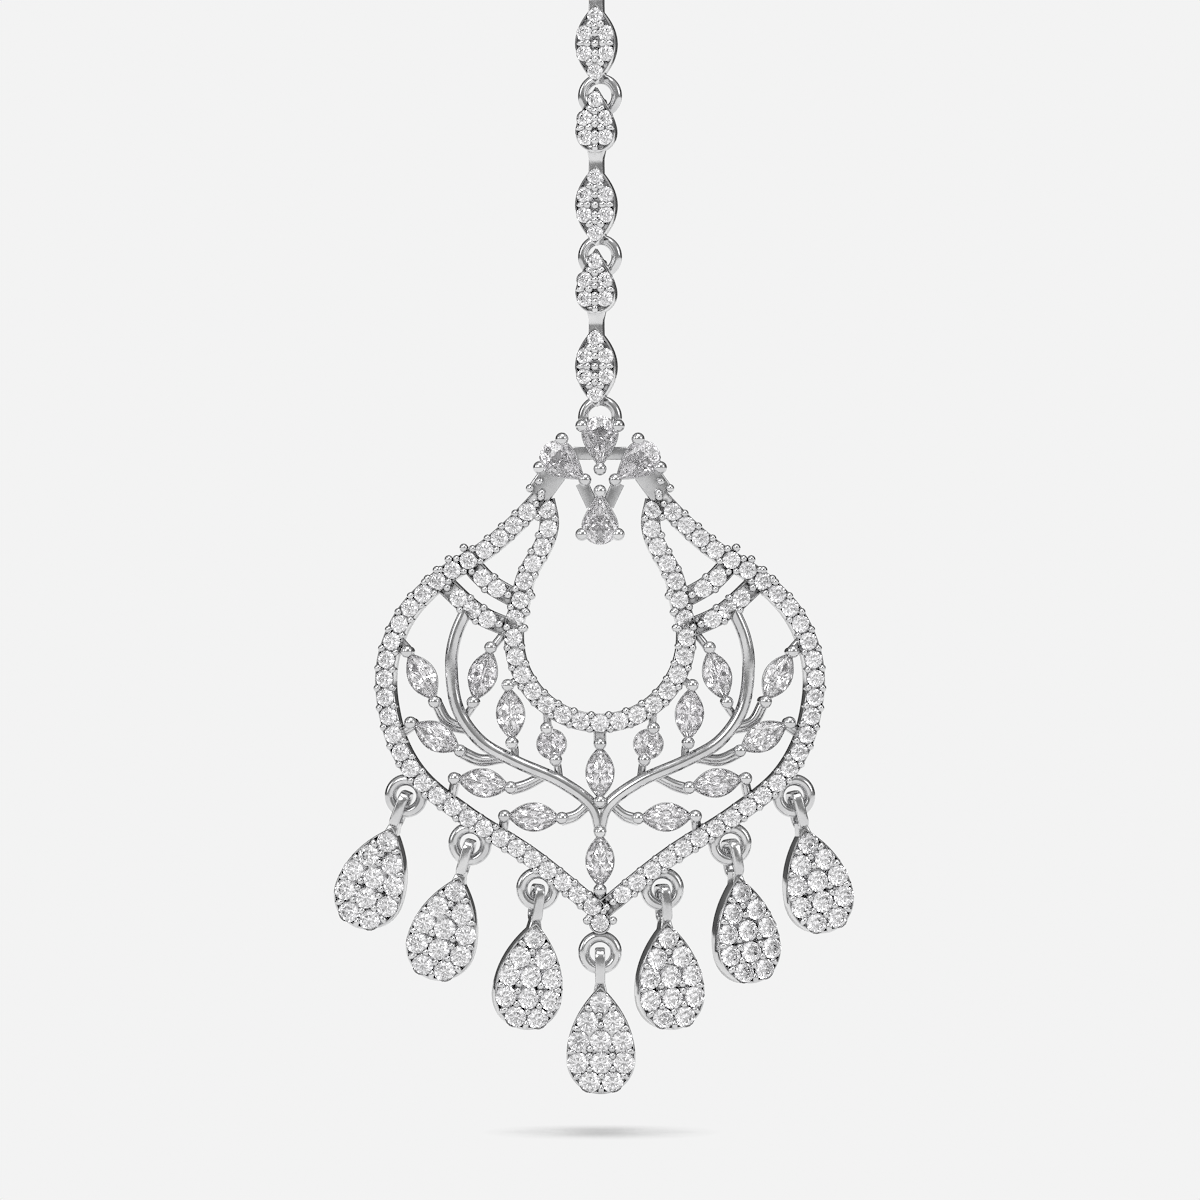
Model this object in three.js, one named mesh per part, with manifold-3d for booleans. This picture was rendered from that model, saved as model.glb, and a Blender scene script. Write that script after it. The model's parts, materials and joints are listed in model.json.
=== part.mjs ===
// Maang tikka in plated silver with white stones: a hair hook, three jewelled chain units, an
// openwork frame and seven pear drops. Millimetres, +Z up, the front faces -Y, and the origin is
// the inside of the hook's bend, where the piece hangs.

import * as THREE from 'three';
import { mergeVertices } from 'three/addons/utils/BufferGeometryUtils.js';
import { ConvexGeometry } from 'three/addons/geometries/ConvexGeometry.js';
import Module from 'manifold-3d';

const wasm = await Module();
wasm.setup();
const turnOf = THREE.MathUtils.degToRad;

// Hair hook: a bent wire with an eye at its foot. Its curve back to the middle is in shares of the
// bend's radius and of the height from the bend's centre to the eye's
const hookWire = 1.1;
const hookBend = 3.4;
const hookTail = 5.5;
const hookDrop = 15.5;
const hookStep = 30;
const hookCurve = [
  { across: 0.8, down: 0.38 },
  { across: 0.2, down: 0.75 },
];

// Rings and bails: each ring's lowest wire carries the bail of the next piece
const ringWire = 0.9;
const ringRadius = 1.45;
const bailThickness = 0.45;
const bailRoom = 0.3;
const solderLap = 0.2;

// Chain units: a pear station, a neck, a marquise station and a ring
const chainUnits = 3;
const chainTurn = -10;
const stationDepth = 1.4;
const stationStone = 1.36;
const chainPearWidth = 3.45;
const chainPearLength = 5.55;
const pearTipRise = 2.05;
const neckWidth = 1.2;
const neckLength = 1.1;
const neckSetback = 0.2;
const chainLeafWidth = 3.5;
const chainLeafLength = 6.8;
const ringTuck = 0.57;

// Frame: its width and height are those of the outer rail's centre line
const frameWidth = 36.8;
const frameHeight = 35.3;
const frameBend = 88;
const railWidth = 1.6;
const railDepth = 1.6;
const railStone = 1.5;
const railPitch = 1.64;
const bowlRadius = 7.4;
const bowlHeight = 0.665;
const bowlStart = 6;
const bowlStep = 24;
const stemWire = 1.1;
const stemProud = 0.25;
const twigWire = 0.7;
const twigLap = 0.1;
const tipDrop = 0.9;
const tipBoss = 0.95;

// Main stones and their claws
const leafWidth = 2.4;
const leafLength = 4.6;
const pearWidth = 3.05;
const pearLength = 4.4;
const crownDropShare = 1.218;
const leafTipInset = 4;
const pearTipInset = 3;
const roundStone = 2.5;
const crownHeight = 0.55;
const pavilionDepth = 0.85;
const tableShare = 0.58;
const clawWidth = 1.0;
const clawRise = 0.85;
const clawTaper = 0.75;
const clawReach = 0.15;
const keelWidth = 0.8;
const keelDepth = 0.4;
const pearKeelInset = 0.12;
const pearClawAngle = 23;
const roundLean = 16;
const stoneGap = 0.1;
const notchShare = 0.45;

// Drops
const dropWidth = 5.9;
const dropLength = 9.2;
const dropDepth = 1.5;
const dropStone = 1.8;
const dropRingWire = 1.0;
const dropRingRadius = 1.37;
const dropRingTuck = 0.87;
const tipTuck = 0.25;
const dropBailRise = 0.54;
const dropStem = 0.95;

// Small stones stand on the metal, and their tables this far above it
const paveRise = 0.36;
const paveTable = 0.62;
const paveCrowding = 0.85;
const paveSides = 4;
const wireSides = 5;
const ringSides = 10;
const hookSteps = 14;
const stemSteps = 11;
const twigSteps = 3;
const grid = 1 / 65536;

// Planes and heights that follow from the sizes above
const bailInner = ringWire / 2 + bailRoom;
const bailOuter = bailInner + bailThickness;
const bailWidth = ringRadius - ringWire / 2;
const stationBack = solderLap - bailOuter;
const frontPlane = stationBack - stationDepth;
const unitPitch = chainPearLength - pearTipRise + neckLength + chainLeafLength
  - ringTuck + 2 * ringRadius;
const crownDrop = crownDropShare * pearLength;
const railBack = frontPlane + railDepth;
const dropRingPlane = railBack - dropRingWire / 2;
const keelSink = pavilionDepth + stoneGap;
const twigPlane = frontPlane + keelSink + keelDepth / 2 - twigLap;

// Rows of small stones on the stations and drops, as shares of their length and half width
const chainPearRows = [
  { down: 0.19, across: [0] },
  { down: 0.48, across: [-0.54, 0.54] },
  { down: 0.77, across: [-0.49, 0.49] },
];
const chainLeafRows = [
  { down: 0.145, across: [0] },
  { down: 0.37, across: [-0.525, 0.525] },
  { down: 0.62, across: [-0.54, 0.54] },
  { down: 0.85, across: [0] },
];
const dropRows = [
  { down: 0.148, across: [0] },
  { down: 0.33, across: [-0.375, 0.375] },
  { down: 0.51, across: [-0.64, 0, 0.64] },
  { down: 0.708, across: [-0.67, 0, 0.67] },
  { down: 0.888, across: [-0.335, 0.335] },
];

// Lines of the frame's right half, as shares of its half width and its height above the tip
const outerRail = [
  { across: 0.273, up: 1.0 },
  { across: 0.389, up: 0.937 },
  { across: 0.525, up: 0.876 },
  { across: 0.747, up: 0.801 },
  { across: 0.903, up: 0.718 },
  { across: 0.981, up: 0.629 },
  { across: 1.0, up: 0.559 },
  { across: 0.988, up: 0.489 },
  { across: 0.94, up: 0.401 },
  { across: 0.838, up: 0.319 },
  { across: 0.623, up: 0.231 },
  { across: 0.324, up: 0.133 },
  { across: 0.0, up: 0.0 },
];
const keyholeNeck = [
  { across: 0.255, up: 0.993 },
  { across: 0.236, up: 0.937 },
  { across: 0.259, up: 0.889 },
  { across: 0.345, up: 0.806 },
  { across: 0.372, up: 0.742 },
];
const upperBand = [
  { across: 0.63, up: 0.855 },
  { across: 0.519, up: 0.794 },
  { across: 0.366, up: 0.748 },
];
const lowerBand = [
  { across: 0.747, up: 0.801 },
  { across: 0.567, up: 0.719 },
  { across: 0.405, up: 0.681 },
];
const stemLine = [
  { across: 0.62, up: 0.728 },
  { across: 0.669, up: 0.667 },
  { across: 0.69, up: 0.602 },
  { across: 0.662, up: 0.492 },
  { across: 0.556, up: 0.412 },
  { across: 0.398, up: 0.364 },
  { across: 0.178, up: 0.313 },
  { across: 0.03, up: 0.253 },
  { across: 0.0, up: 0.205 },
];

// Marquise stones of the right half: centre, lean of the long axis in degrees, and where the
// post from the outer end and the twig from the inner end reach the metal around them
const sideLeaves = [
  { across: 0.826, up: 0.567, lean: 61, post: { across: 0.955, up: 0.665 },
    bow: { across: 0.708, up: 0.46 }, twig: { across: 0.612, up: 0.446 } },
  { across: 0.544, up: 0.571, lean: 108, post: { across: 0.43, up: 0.685 },
    bow: { across: 0.603, up: 0.49 }, twig: { across: 0.635, up: 0.468 } },
  { across: 0.415, up: 0.477, lean: 86, post: { across: 0.36, up: 0.569 },
    bow: { across: 0.4, up: 0.39 }, twig: { across: 0.398, up: 0.366 } },
  { across: 0.759, up: 0.422, lean: 29, post: { across: 0.958, up: 0.425 },
    bow: { across: 0.556, up: 0.37 }, twig: { across: 0.45, up: 0.377 } },
  { across: 0.541, up: 0.311, lean: 9, post: { across: 0.7, up: 0.262 },
    bow: { across: 0.345, up: 0.31 }, twig: { across: 0.26, up: 0.333 } },
  { across: 0.307, up: 0.229, lean: 2, post: { across: 0.455, up: 0.18 },
    bow: { across: 0.11, up: 0.237 }, twig: { across: 0.055, up: 0.262 } },
];
const middleLeaves = [
  { up: 0.336, above: 0.455, below: 0.24 },
  { up: 0.124, above: 0.215, below: 0.02 },
];
const sideRound = { across: 0.2245, up: 0.405, above: { across: 0.25, up: 0.487 },
  below: { across: 0.19, up: 0.318 } };

// Ends of the crown's bars, as shares of the pear's length
const crownBars = {
  crossBar: { across: 0.52, down: 0.37 },
  vTop: { across: 0.36, down: 0.94 },
  vFoot: { across: 0.15, down: 1.38 },
  shoulder: { across: 0.82, down: 0.78 },
};

// Crown pears, as shares of a pear's length from the pendant's pivot; turn 0 points up
const crownPears = [
  { name: 'pear_top', across: 0, down: 0.145, turn: 180 },
  { name: 'pear_left', across: -0.71, down: 0.56, turn: -128 },
  { name: 'pear_right', across: 0.71, down: 0.56, turn: 128 },
  { name: 'pear_bottom', across: 0, down: 1.64, turn: 0 },
];

// Drops from left to right: the share of the right or left rail's length where the ring sits,
// the lean in the frame's plane and the turn about the drop's own length, in degrees
const drops = [
  { side: -1, along: 0.62, lean: -21, turn: 0 },
  { side: -1, along: 0.748, lean: -16, turn: 0 },
  { side: -1, along: 0.892, lean: -6, turn: 16 },
  { side: 0, along: 1, lean: 0.5, turn: 0 },
  { side: 1, along: 0.892, lean: 4, turn: 14 },
  { side: 1, along: 0.748, lean: 9, turn: 18 },
  { side: 1, along: 0.62, lean: 14, turn: 6 },
];

const union = (solids) => wasm.Manifold.union(solids);

// A closed geometry as a solid, first moved by a matrix; its corners snap to a fine grid, so that
// faces meant to lie in one plane do
function solid(geometry, matrix = new THREE.Matrix4()) {
  const bare = geometry.clone().applyMatrix4(matrix);
  bare.deleteAttribute('normal');
  bare.deleteAttribute('uv');
  const merged = mergeVertices(bare);
  return new wasm.Manifold(new wasm.Mesh({
    numProp: 3,
    vertProperties: Float32Array.from(merged.attributes.position.array, (v) => grid * Math.round(v / grid)),
    triVerts: new Uint32Array(merged.index.array),
  }));
}

function geometryOf(shape) {
  const mesh = shape.getMesh();
  const geometry = new THREE.BufferGeometry();
  geometry.setAttribute('position', new THREE.BufferAttribute(mesh.vertProperties, 3));
  geometry.setIndex(new THREE.BufferAttribute(mesh.triVerts, 1));
  return geometry;
}

function metalMesh(name, shape) {
  const material = new THREE.MeshStandardMaterial({ color: 0xd3d4d6, roughness: 0.18, metalness: 1 });
  const mesh = new THREE.Mesh(geometryOf(shape), material);
  mesh.name = name;
  return mesh;
}

function stoneMesh(name, geometry, matrix) {
  const material = new THREE.MeshStandardMaterial({ color: 0xf3f4f8, roughness: 0.03, metalness: 0 });
  const mesh = new THREE.Mesh(geometryOf(solid(geometry)), material);
  mesh.name = name;
  matrix.decompose(mesh.position, mesh.quaternion, mesh.scale);
  return mesh;
}

// Outlines, drawn in the plane of the front with x across and y up
function pearShape(width, length) {
  const shape = new THREE.Shape();
  const radius = width / 2;
  const centre = radius - length / 2;
  const flank = centre + 0.3 * (length - radius);
  shape.moveTo(0, length / 2);
  shape.quadraticCurveTo(-radius, flank, -radius, centre);
  shape.absarc(0, centre, radius, Math.PI, 2 * Math.PI, false);
  shape.quadraticCurveTo(radius, flank, 0, length / 2);
  return shape;
}

function leafShape(width, length) {
  const shape = new THREE.Shape();
  shape.moveTo(length / 2, 0);
  shape.quadraticCurveTo(0, width, -length / 2, 0);
  shape.quadraticCurveTo(0, -width, length / 2, 0);
  return shape;
}

function roundShape(width) {
  const shape = new THREE.Shape();
  shape.absarc(0, 0, width / 2, 0, 2 * Math.PI, false);
  return shape;
}

// A stadium ring in side view: x runs to the back, y up, and the hole's lower centre is the origin
function bailShape(inner, thickness, rise) {
  const stadium = (path, radius) => {
    path.absarc(0, 0, radius, Math.PI, 2 * Math.PI, false);
    path.absarc(0, rise, radius, 0, Math.PI, false);
    return path;
  };
  const shape = stadium(new THREE.Shape(), inner + thickness);
  shape.holes.push(stadium(new THREE.Path(), inner));
  return shape;
}

// A flat piece with its outline in the front's plane, from one depth to another
function slab(shape, front, back, segments) {
  const options = { depth: back - front, bevelEnabled: false, curveSegments: segments };
  return new THREE.ExtrudeGeometry(shape, options).rotateX(Math.PI / 2).translate(0, back, 0);
}

function block(width, front, back, bottom, top) {
  const geometry = new THREE.BoxGeometry(width, back - front, top - bottom);
  return geometry.translate(0, (front + back) / 2, (top + bottom) / 2);
}

function bail(inner, thickness, rise, width, segments) {
  const shape = bailShape(inner, thickness, rise);
  const options = { depth: width, bevelEnabled: false, curveSegments: segments };
  const geometry = new THREE.ExtrudeGeometry(shape, options).translate(0, 0, -width / 2);
  return geometry.rotateX(Math.PI / 2).rotateZ(Math.PI / 2);
}

function ring(radius, wire) {
  return new THREE.TorusGeometry(radius, wire / 2, wireSides, ringSides).rotateX(Math.PI / 2);
}

// A bar along a curve, with a rectangular or a round section
function sweep(curve, steps, section) {
  return new THREE.ExtrudeGeometry(section, { steps, bevelEnabled: false, extrudePath: curve });
}

function flatSection(width, depth) {
  const shape = new THREE.Shape();
  shape.moveTo(-depth / 2, -width / 2);
  shape.lineTo(depth / 2, -width / 2);
  shape.lineTo(depth / 2, width / 2);
  shape.lineTo(-depth / 2, width / 2);
  return shape;
}

function wireSection(width) {
  const corners = Array.from({ length: wireSides }, (_, i) => {
    const angle = (2 * Math.PI * i) / wireSides;
    return new THREE.Vector2(Math.cos(angle), Math.sin(angle)).multiplyScalar(width / 2);
  });
  return new THREE.Shape(corners);
}

// A cut stone: table, crown, a sharp girdle and a pavilion that ends in a culet
function cutStone(shape, segments, culetUp = 0) {
  const outline = shape.getPoints(segments);
  const outlineAt = (share, depth) => outline.map((p) => new THREE.Vector3(p.x * share, depth, p.y * share));
  return new ConvexGeometry([
    ...outlineAt(tableShare, -crownHeight),
    ...outlineAt(1, 0),
    new THREE.Vector3(0, pavilionDepth, culetUp),
  ]);
}

// A small round stone fused into the metal, with a table and a star of crown facets
function paveStone(width) {
  const corner = (share, depth, i) => {
    const angle = (2 * Math.PI * i) / paveSides;
    return new THREE.Vector3(Math.cos(angle), 0, Math.sin(angle))
      .multiplyScalar((share * width) / 2).setY(depth);
  };
  const points = [];
  for (let i = 0; i < paveSides; i += 1) {
    points.push(corner(paveTable, -paveRise, i), corner(1, 0, i + 0.5));
  }
  return new ConvexGeometry(points);
}

// Rows of small stones on a plate whose front lies at a given depth
function paveRows(rows, top, length, width, stone, front) {
  return rows.flatMap(({ down, across }) => across.map((share) => {
    const place = new THREE.Matrix4().makeTranslation((share * width) / 2, front, top - down * length);
    return solid(paveStone(stone), place);
  }));
}

// The hair hook, with its eye's lowest wire at the drop's depth below the bend
function hairHook() {
  const bendCentre = (hookWire / 2) - hookBend;
  const eyeCentre = ringRadius - hookDrop;
  const at = (across, up) => new THREE.Vector3(across, 0, up);
  const points = [at(-hookBend, bendCentre - hookTail)];
  for (let angle = 180; angle >= 0; angle -= hookStep) {
    points.push(at(hookBend * Math.cos(turnOf(angle)), bendCentre + hookBend * Math.sin(turnOf(angle))));
  }
  hookCurve.forEach(({ across, down }) => {
    points.push(at(across * hookBend, bendCentre + down * (eyeCentre - bendCentre)));
  });
  points.push(at(0, eyeCentre + ringRadius));
  const wire = sweep(new THREE.CatmullRomCurve3(points), hookSteps, wireSection(hookWire));
  const eye = ring(ringRadius, ringWire).translate(0, 0, eyeCentre);
  return metalMesh('hair_hook', union([solid(wire), solid(eye)]));
}

// One chain unit; its origin is the centre of the wire that its bail holds
function chainUnit(name) {
  const pearFoot = pearTipRise - chainPearLength;
  const leafTop = pearFoot - neckLength;
  const leafFoot = leafTop - chainLeafLength;
  const ringCentre = ringRadius - unitPitch;
  const pear = slab(pearShape(chainPearWidth, chainPearLength), frontPlane, stationBack, 3);
  pear.translate(0, 0, pearTipRise - chainPearLength / 2);
  const leaf = slab(leafShape(chainLeafWidth, chainLeafLength), frontPlane, stationBack, 5);
  leaf.rotateY(Math.PI / 2).translate(0, 0, leafTop - chainLeafLength / 2);
  const neck = block(neckWidth, frontPlane + neckSetback, stationBack,
    leafTop - neckWidth / 2, pearFoot + neckWidth / 2);
  const tab = block(ringWire, stationBack - solderLap, 0, leafFoot + ringTuck / 2,
    leafFoot + ringTuck + ringWire / 2);
  const link = ring(ringRadius, ringWire).translate(0, 0, ringCentre);
  const pieces = [pear, leaf, neck, tab, link, bail(bailInner, bailThickness, 0, bailWidth, 3)];
  return metalMesh(name, union([
    ...pieces.map((piece) => solid(piece)),
    ...paveRows(chainPearRows, pearTipRise, chainPearLength, chainPearWidth, stationStone, frontPlane),
    ...paveRows(chainLeafRows, leafTop, chainLeafLength, chainLeafWidth, stationStone, frontPlane),
  ]));
}

// One drop; its origin is the centre of the ring that it hangs in
function drop(name) {
  const wireDown = -dropRingRadius;
  const inner = dropRingWire / 2 + bailRoom;
  const outer = inner + bailThickness;
  const width = dropRingRadius - dropRingWire / 2;
  const loop = bail(inner, bailThickness, dropBailRise, width, 2).translate(0, 0, wireDown);
  const plateTop = wireDown - outer - solderLap;
  const stem = block(width, -dropDepth / 2, dropDepth / 2, plateTop - dropStem, wireDown - inner - solderLap);
  const plate = slab(pearShape(dropWidth, dropLength), -dropDepth / 2, dropDepth / 2, 4);
  plate.translate(0, 0, plateTop - dropLength / 2);
  return metalMesh(name, union([
    ...[loop, stem, plate].map((piece) => solid(piece)),
    ...paveRows(dropRows, plateTop, dropLength, dropWidth, dropStone, -dropDepth / 2),
  ]));
}

// Frame coordinates: shares become places in the pendant, whose origin is its pivot
const acrossOf = (share) => (share * frameWidth) / 2;
const heightOf = (share) => -crownDrop - frameHeight * (1 - share);
const sagAt = (x) => (x * x) / (2 * frameBend);

function framePoint({ across, up }, side, depth) {
  return new THREE.Vector3(side * acrossOf(across), depth, heightOf(up));
}

// The frame is bent back at its sides, round an upright axis behind it
function bent(geometry) {
  const places = geometry.attributes.position;
  for (let i = 0; i < places.count; i += 1) {
    places.setY(i, places.getY(i) + sagAt(places.getX(i)));
  }
  return geometry;
}

// Where a piece sits on the bent frame: x and z, its turn in the plane and its depth
function seat(x, z, turn = 0, depth = frontPlane) {
  const place = new THREE.Object3D();
  place.position.set(x, depth + sagAt(x), z);
  place.rotation.set(0, -turnOf(turn), Math.atan(x / frameBend), 'ZYX');
  place.updateMatrix();
  return place.matrix;
}

// A small stone's place on the rails before they are bent
function flatSeat(x, z, turn = 0) {
  return new THREE.Matrix4().makeRotationY(-turnOf(turn)).setPosition(x, frontPlane, z);
}

function splineThrough(rows, side, depth) {
  return new THREE.CatmullRomCurve3(rows.map((row) => framePoint(row, side, depth)), false, 'centripetal');
}

function keyholeLine(depth) {
  const neck = (side) => keyholeNeck.map((row) => framePoint(row, side, depth));
  const centre = heightOf(bowlHeight);
  const bowl = [];
  for (let angle = bowlStart; angle >= -180 - bowlStart; angle -= bowlStep) {
    bowl.push(new THREE.Vector3(bowlRadius * Math.cos(turnOf(angle)), depth,
      centre + bowlRadius * Math.sin(turnOf(angle))));
  }
  return new THREE.CatmullRomCurve3([...neck(1), ...bowl, ...neck(-1).reverse()], false, 'centripetal');
}

// A bar with a small stone on each of its straight steps; it leaves out those that would sit on
// stones placed before
function paveBar(curve, placed) {
  const count = Math.round(curve.getLength() / railPitch);
  const bar = solid(sweep(curve, count, flatSection(railWidth, railDepth)));
  const stones = [];
  for (let i = 0; i < count; i += 1) {
    const point = curve.getPointAt((i + 0.5) / count);
    const way = curve.getTangentAt((i + 0.5) / count);
    const turn = THREE.MathUtils.radToDeg(Math.atan2(way.z, way.x));
    if (placed.every((other) => other.distanceTo(point) > paveCrowding * railStone)) {
      placed.push(point);
      stones.push(solid(paveStone(railStone), flatSeat(point.x, point.z, turn)));
    }
  }
  return [bar, ...stones];
}

function wireAlong(points, width, steps) {
  const curve = new THREE.CatmullRomCurve3(points);
  return solid(bent(sweep(curve, steps, wireSection(width))));
}

// The kinds of main stone: outline at an inset, curve segments, claw places, the keel that joins
// the claws behind the stone, and the culet's height in the outline
const clawSpot = (radius, angle, up = 0) => [
  (radius + clawReach) * Math.cos(turnOf(angle)),
  up + (radius + clawReach) * Math.sin(turnOf(angle)),
];
const keelBar = (length, upright) => {
  const [across, up] = upright ? [keelWidth, length] : [length, keelWidth];
  return block(across, keelSink, keelSink + keelDepth, -up / 2, up / 2);
};
const leafKind = {
  outline: (inset) => leafShape(leafWidth - 2 * inset, leafLength - leafTipInset * inset),
  segments: 5,
  notchSegments: 3,
  claws: [clawSpot(leafLength / 2, 0), clawSpot(leafLength / 2, 180)],
  keel: () => keelBar(leafLength + 2 * clawReach, false),
  culetUp: 0,
};
const pearRound = (pearWidth - pearLength) / 2;
const pearKind = {
  outline: (inset) => pearShape(pearWidth - 2 * inset, pearLength - pearTipInset * inset),
  segments: 3,
  notchSegments: 3,
  claws: [clawSpot(pearLength / 2, 90), clawSpot(pearWidth / 2, -pearClawAngle, pearRound),
    clawSpot(pearWidth / 2, pearClawAngle - 180, pearRound)],
  keel: () => slab(pearKind.outline(pearKeelInset), keelSink, keelSink + keelDepth, 3),
  culetUp: pearRound / 2,
};
const roundKind = {
  outline: (inset) => roundShape(roundStone - 2 * inset),
  segments: 5,
  notchSegments: 4,
  claws: [clawSpot(roundStone / 2, 90), clawSpot(roundStone / 2, -90)],
  keel: () => keelBar(roundStone + 2 * clawReach, true),
  culetUp: 0,
};

const stoneOf = (kind) => cutStone(kind.outline(0), kind.segments, kind.culetUp);

// The notch that a stone's edge needs in the claws
function notch({ kind, place }) {
  const back = notchShare * pavilionDepth;
  return solid(slab(kind.outline(-stoneGap), -crownHeight - stoneGap, back, kind.notchSegments), place);
}

// Claws and the keel behind one main stone
function setting({ kind, place }) {
  const radius = clawWidth / 2;
  const back = keelSink + keelDepth;
  const claw = new THREE.CylinderGeometry(radius, clawTaper * radius, clawRise + back, 6);
  claw.translate(0, (back - clawRise) / 2, 0);
  const claws = kind.claws.map(([x, z]) => solid(claw.clone().translate(x, 0, z), place));
  return [solid(kind.keel(), place), ...claws];
}

// Every main stone: its name, kind and place on the frame
function leafStones() {
  const sides = [{ side: -1, hand: 'left' }, { side: 1, hand: 'right' }];
  const onSides = sides.flatMap(({ side, hand }) => sideLeaves.map((row, i) => {
    const turn = side > 0 ? row.lean : 180 - row.lean;
    const place = seat(side * acrossOf(row.across), heightOf(row.up), turn);
    return { name: `marquise_${hand}_${i + 1}`, kind: leafKind, place };
  }));
  const inMiddle = middleLeaves.map((row, i) => (
    { name: `marquise_middle_${i + 1}`, kind: leafKind, place: seat(0, heightOf(row.up), 90) }));
  return [...onSides, ...inMiddle];
}

function roundStones() {
  return [{ side: -1, hand: 'left' }, { side: 1, hand: 'right' }].map(({ side, hand }) => {
    const place = seat(side * acrossOf(sideRound.across), heightOf(sideRound.up), -side * roundLean);
    return { name: `round_${hand}`, kind: roundKind, place };
  });
}

function crownStones() {
  return crownPears.map(({ name, across, down, turn }) => (
    { name, kind: pearKind, place: seat(across * pearLength, -down * pearLength, turn) }));
}

// Posts and twigs that hold the leaves of one side
function leafWires(side) {
  return sideLeaves.flatMap(({ across, up, lean, post, bow, twig }) => {
    const reach = leafLength / 2 + clawReach;
    const along = new THREE.Vector3(side * Math.cos(turnOf(lean)), 0, Math.sin(turnOf(lean)));
    const centre = framePoint({ across, up }, side, twigPlane);
    const head = centre.clone().addScaledVector(along, reach);
    const foot = centre.clone().addScaledVector(along, -reach);
    return [
      wireAlong([head, framePoint(post, side, twigPlane)], twigWire, 1),
      wireAlong([foot, framePoint(bow, side, twigPlane), framePoint(twig, side, twigPlane)],
        twigWire, twigSteps),
    ];
  });
}

function middleWires() {
  const at = (up) => framePoint({ across: 0, up }, 1, twigPlane);
  return middleLeaves.flatMap(({ up, above, below }) => [
    wireAlong([at(above), at(up).setZ(heightOf(up) + leafLength / 2)], stemWire, 1),
    wireAlong([at(below), at(up).setZ(heightOf(up) - leafLength / 2)], stemWire, 1),
  ]);
}

function roundWires(side) {
  const centre = framePoint(sideRound, side, twigPlane);
  const reach = roundStone / 2 + clawReach;
  const lean = turnOf(90 - roundLean);
  const along = new THREE.Vector3(side * Math.cos(lean), 0, Math.sin(lean));
  return [
    wireAlong([framePoint(sideRound.above, side, twigPlane),
      centre.clone().addScaledVector(along, reach)], twigWire, 1),
    wireAlong([framePoint(sideRound.below, side, twigPlane),
      centre.clone().addScaledVector(along, -reach)], twigWire, 1),
  ];
}

// Bars of the crown: across behind the top pear, down to the bottom pear and to the rails
function crownWires() {
  const at = ({ across, down }, side) => (
    new THREE.Vector3(side * across * pearLength, twigPlane, -down * pearLength));
  const { crossBar, vTop, vFoot, shoulder } = crownBars;
  const across = wireAlong([at(crossBar, -1), at(crossBar, 1)], stemWire, 1);
  const pairs = [-1, 1].flatMap((side) => [
    wireAlong([at(vTop, side), at(vFoot, side)], stemWire, 1),
    wireAlong([at(shoulder, side), framePoint(outerRail[0], side, twigPlane)], railWidth, 1),
  ]);
  return [across, ...pairs];
}

// The bail behind the top pear, which the chain's last ring holds
function crownBail() {
  const front = frontPlane + keelSink;
  const solder = block(keelWidth, front, stationBack, -bailOuter / 2, bailOuter / 2);
  return [solid(solder), solid(bail(bailInner, bailThickness, 0, bailWidth, 3))];
}

// Drop rings: on the outer rail's outside, and one below the tip
function dropRingPlace({ side, along, lean = 0, turn = 0 }) {
  const outer = dropRingRadius + dropRingWire / 2;
  const centre = new THREE.Vector3(0, 0, heightOf(0) - tipDrop - tipBoss - outer + tipTuck);
  if (side !== 0) {
    const rail = splineThrough(outerRail, 1, 0);
    const way = rail.getTangentAt(along);
    centre.copy(rail.getPointAt(along));
    centre.addScaledVector(new THREE.Vector3(-way.z, 0, way.x), railWidth / 2 + outer - dropRingTuck);
    centre.x *= side;
  }
  const place = seat(centre.x, centre.z, lean, dropRingPlane);
  return place.multiply(new THREE.Matrix4().makeRotationZ(turnOf(turn)));
}

function dropRing({ side, along }) {
  return solid(ring(dropRingRadius, dropRingWire), dropRingPlace({ side, along }));
}

function tip() {
  const height = heightOf(0) - tipDrop;
  const boss = slab(roundShape(2 * tipBoss), frontPlane, railBack, 5).translate(0, 0, height);
  const web = block(railWidth, frontPlane, railBack, height, heightOf(0) + tipDrop / 2);
  return [solid(boss), solid(web), solid(paveStone(railStone), flatSeat(0, height))];
}

function frame(stones) {
  const placed = [framePoint({ across: 0, up: 0 }, 1, frontPlane).setZ(heightOf(0) - tipDrop)];
  const depth = frontPlane + railDepth / 2;
  const bars = [
    ...paveBar(splineThrough(outerRail, -1, depth), placed),
    ...paveBar(splineThrough(outerRail, 1, depth), placed),
    ...paveBar(keyholeLine(depth), placed),
  ];
  [-1, 1].forEach((side) => {
    bars.push(...paveBar(splineThrough(upperBand, side, depth), placed));
    bars.push(...paveBar(splineThrough(lowerBand, side, depth), placed));
  });
  const stemDepth = frontPlane - stemProud + stemWire / 2;
  const wires = [-1, 1].flatMap((side) => [
    solid(bent(sweep(splineThrough(stemLine, side, stemDepth), stemSteps, wireSection(stemWire)))),
    ...leafWires(side),
    ...roundWires(side),
  ]);
  const rails = solid(bent(geometryOf(union([...bars, ...tip()]))));
  const metal = union([rails, ...wires, ...middleWires(), ...crownWires(), ...crownBail(),
    ...drops.map(dropRing), ...stones.flatMap(setting)]);
  return metalMesh('frame', metal.subtract(union(stones.map(notch))));
}

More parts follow.
